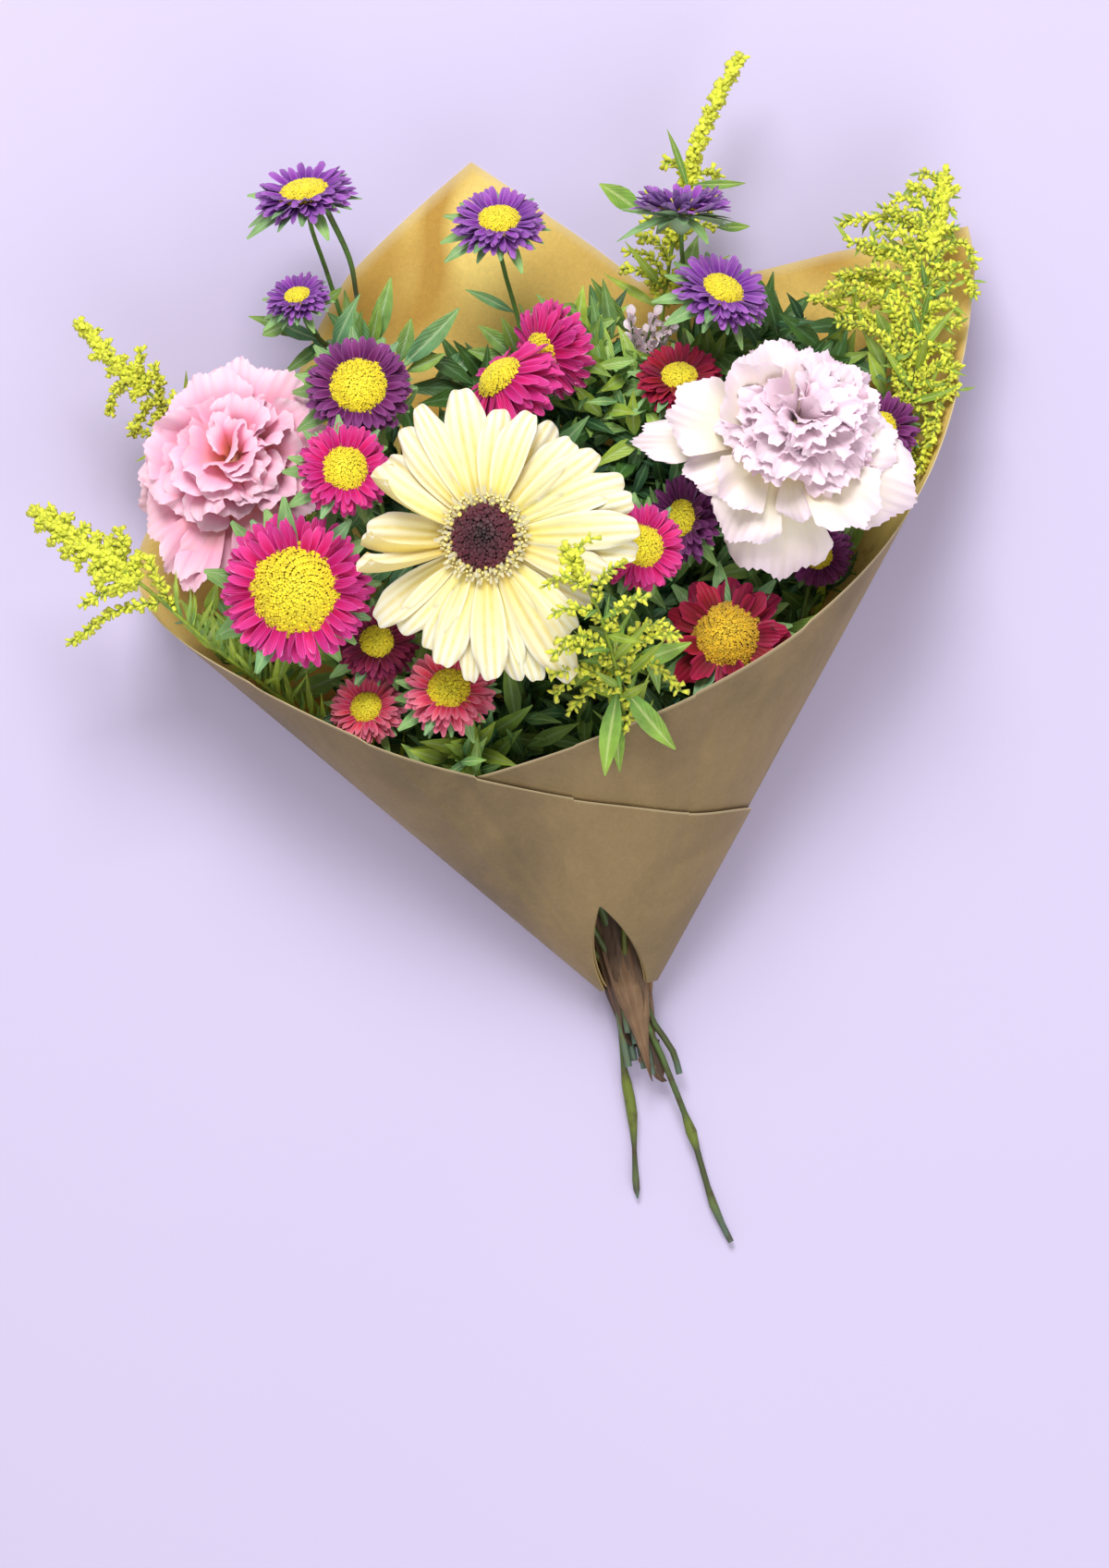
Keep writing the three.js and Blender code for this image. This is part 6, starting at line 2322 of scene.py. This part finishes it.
STATICE = Statice(Slot(Ring.OUTER, 306), 4, ((690, 600, 24), (690, 420, 44), (708, 342, 58)),
    (((690, 420, 44), (697, 378, 52), (708, 342, 58)), ((693, 405, 47), (688, 375, 54), (682, 345, 60)),
    ((695, 395, 48), (716, 368, 56), (728, 345, 60))))  # fmt: skip


@dataclass(frozen=True)
class RubberBand:
    """The rubber band round the bundle: three turns side by side."""

    start: float = 16.0
    end: float = 19.0
    radius: float = 9.0
    height: float = 10.8
    turns: int = 3
    steps: int = 40
    half_thickness: float = 0.45

    def build(self) -> None:
        """Makes the turns."""
        angles = [math.tau * k / self.steps for k in range(self.steps + 1)]
        paths = []
        for turn in range(self.turns):
            along = self.start + (turn + 0.5) * (self.end - self.start) / self.turns
            turned = ((self.radius * math.cos(angle), self.radius * math.sin(angle)) for angle in angles)
            paths.append([PAPER.inside(along, side, self.height + rise) for side, rise in turned])
        base = paths_of("band", paths, [[self.half_thickness] * len(angles)] * self.turns)
        mesh = SHAPES.stems.grow(base, Sides=8, Material=NATURAL_RUBBER.material())
        finish_piece(joined("rubber_turns", [mesh]), "rubber", "rubber_band")


# ---------- The studio ----------


@dataclass(frozen=True)
class Studio:
    """A pale floor, a big soft key light from the top of the picture and a weak fill."""

    floor: float = 6.0
    lights: tuple = (("key", (-0.25, 1.25, 1.7), 35.0, 0.9), ("fill", (0.6, -1.2, 1.5), 14.0, 1.4))
    aim: tuple[float, float, float] = (0, 0, 0.05)
    sky: float = 0.46
    sky_colour: str = "FFFDFA"

    def build(self) -> None:
        """Makes the floor, the lights and the world."""
        half = self.floor / 2 / MM
        corners = np.array([(-half, -half, 0), (half, -half, 0), (half, half, 0), (-half, half, 0)])
        floor = joined("floor", [dressed(mesh_of("floor", corners, [(0, 1, 2, 3)]), FLOOR_PAINT.material())])
        floor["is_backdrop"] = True
        for light in self.lights:
            self.add_light(*light)
        world = bpy.data.worlds.new("studio")
        world.use_nodes = True
        background = world.node_tree.nodes["Background"]
        background.inputs["Color"].default_value = linear(self.sky_colour)
        background.inputs["Strength"].default_value = self.sky
        bpy.context.scene.world = world
        bpy.context.scene.view_settings.view_transform = "Standard"

    def add_light(self, name: str, place: tuple[float, float, float], power: float, size: float) -> None:
        """Adds a square light that shines on the blooms.

        Args:
            name: the light's name.
            place: where it hangs, in metres.
            power: its power in watts.
            size: the length of a side in metres.
        """
        lamp = bpy.data.lights.new(name, "AREA")
        lamp.energy, lamp.size = power, size
        light = bpy.data.objects.new(name, lamp)
        light.location = place
        light.rotation_mode = "QUATERNION"
        light.rotation_quaternion = (Vector(self.aim) - Vector(place)).to_track_quat("-Z", "Y")
        bpy.context.scene.collection.objects.link(light)


def write_sizes() -> None:
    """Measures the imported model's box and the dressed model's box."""
    boxes = {"cad": CAD_BOX, "visual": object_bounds()}
    {name: [list(corner) for corner in box] for name, box in boxes.items()}


def main() -> None:
    """Builds the bouquet, the studio and the camera."""
    logging.basicConfig(level=logging.INFO, format="%(message)s")
    VIEW.add_camera()
    PAPER.build()
    RubberBand().build()
    for bloom in BLOOMS.values():
        bloom.build()
    shoots = UNDERGROWTH.shoots()
    for spray in SPRAYS:
        spray.build(shoots[spray.name])
    for stem in [*SINGLE_STEMS, *GOLDENRODS, STATICE]:
        stem.build()
    Studio().build()
    write_sizes()


if __name__ == "__main__":
    main()
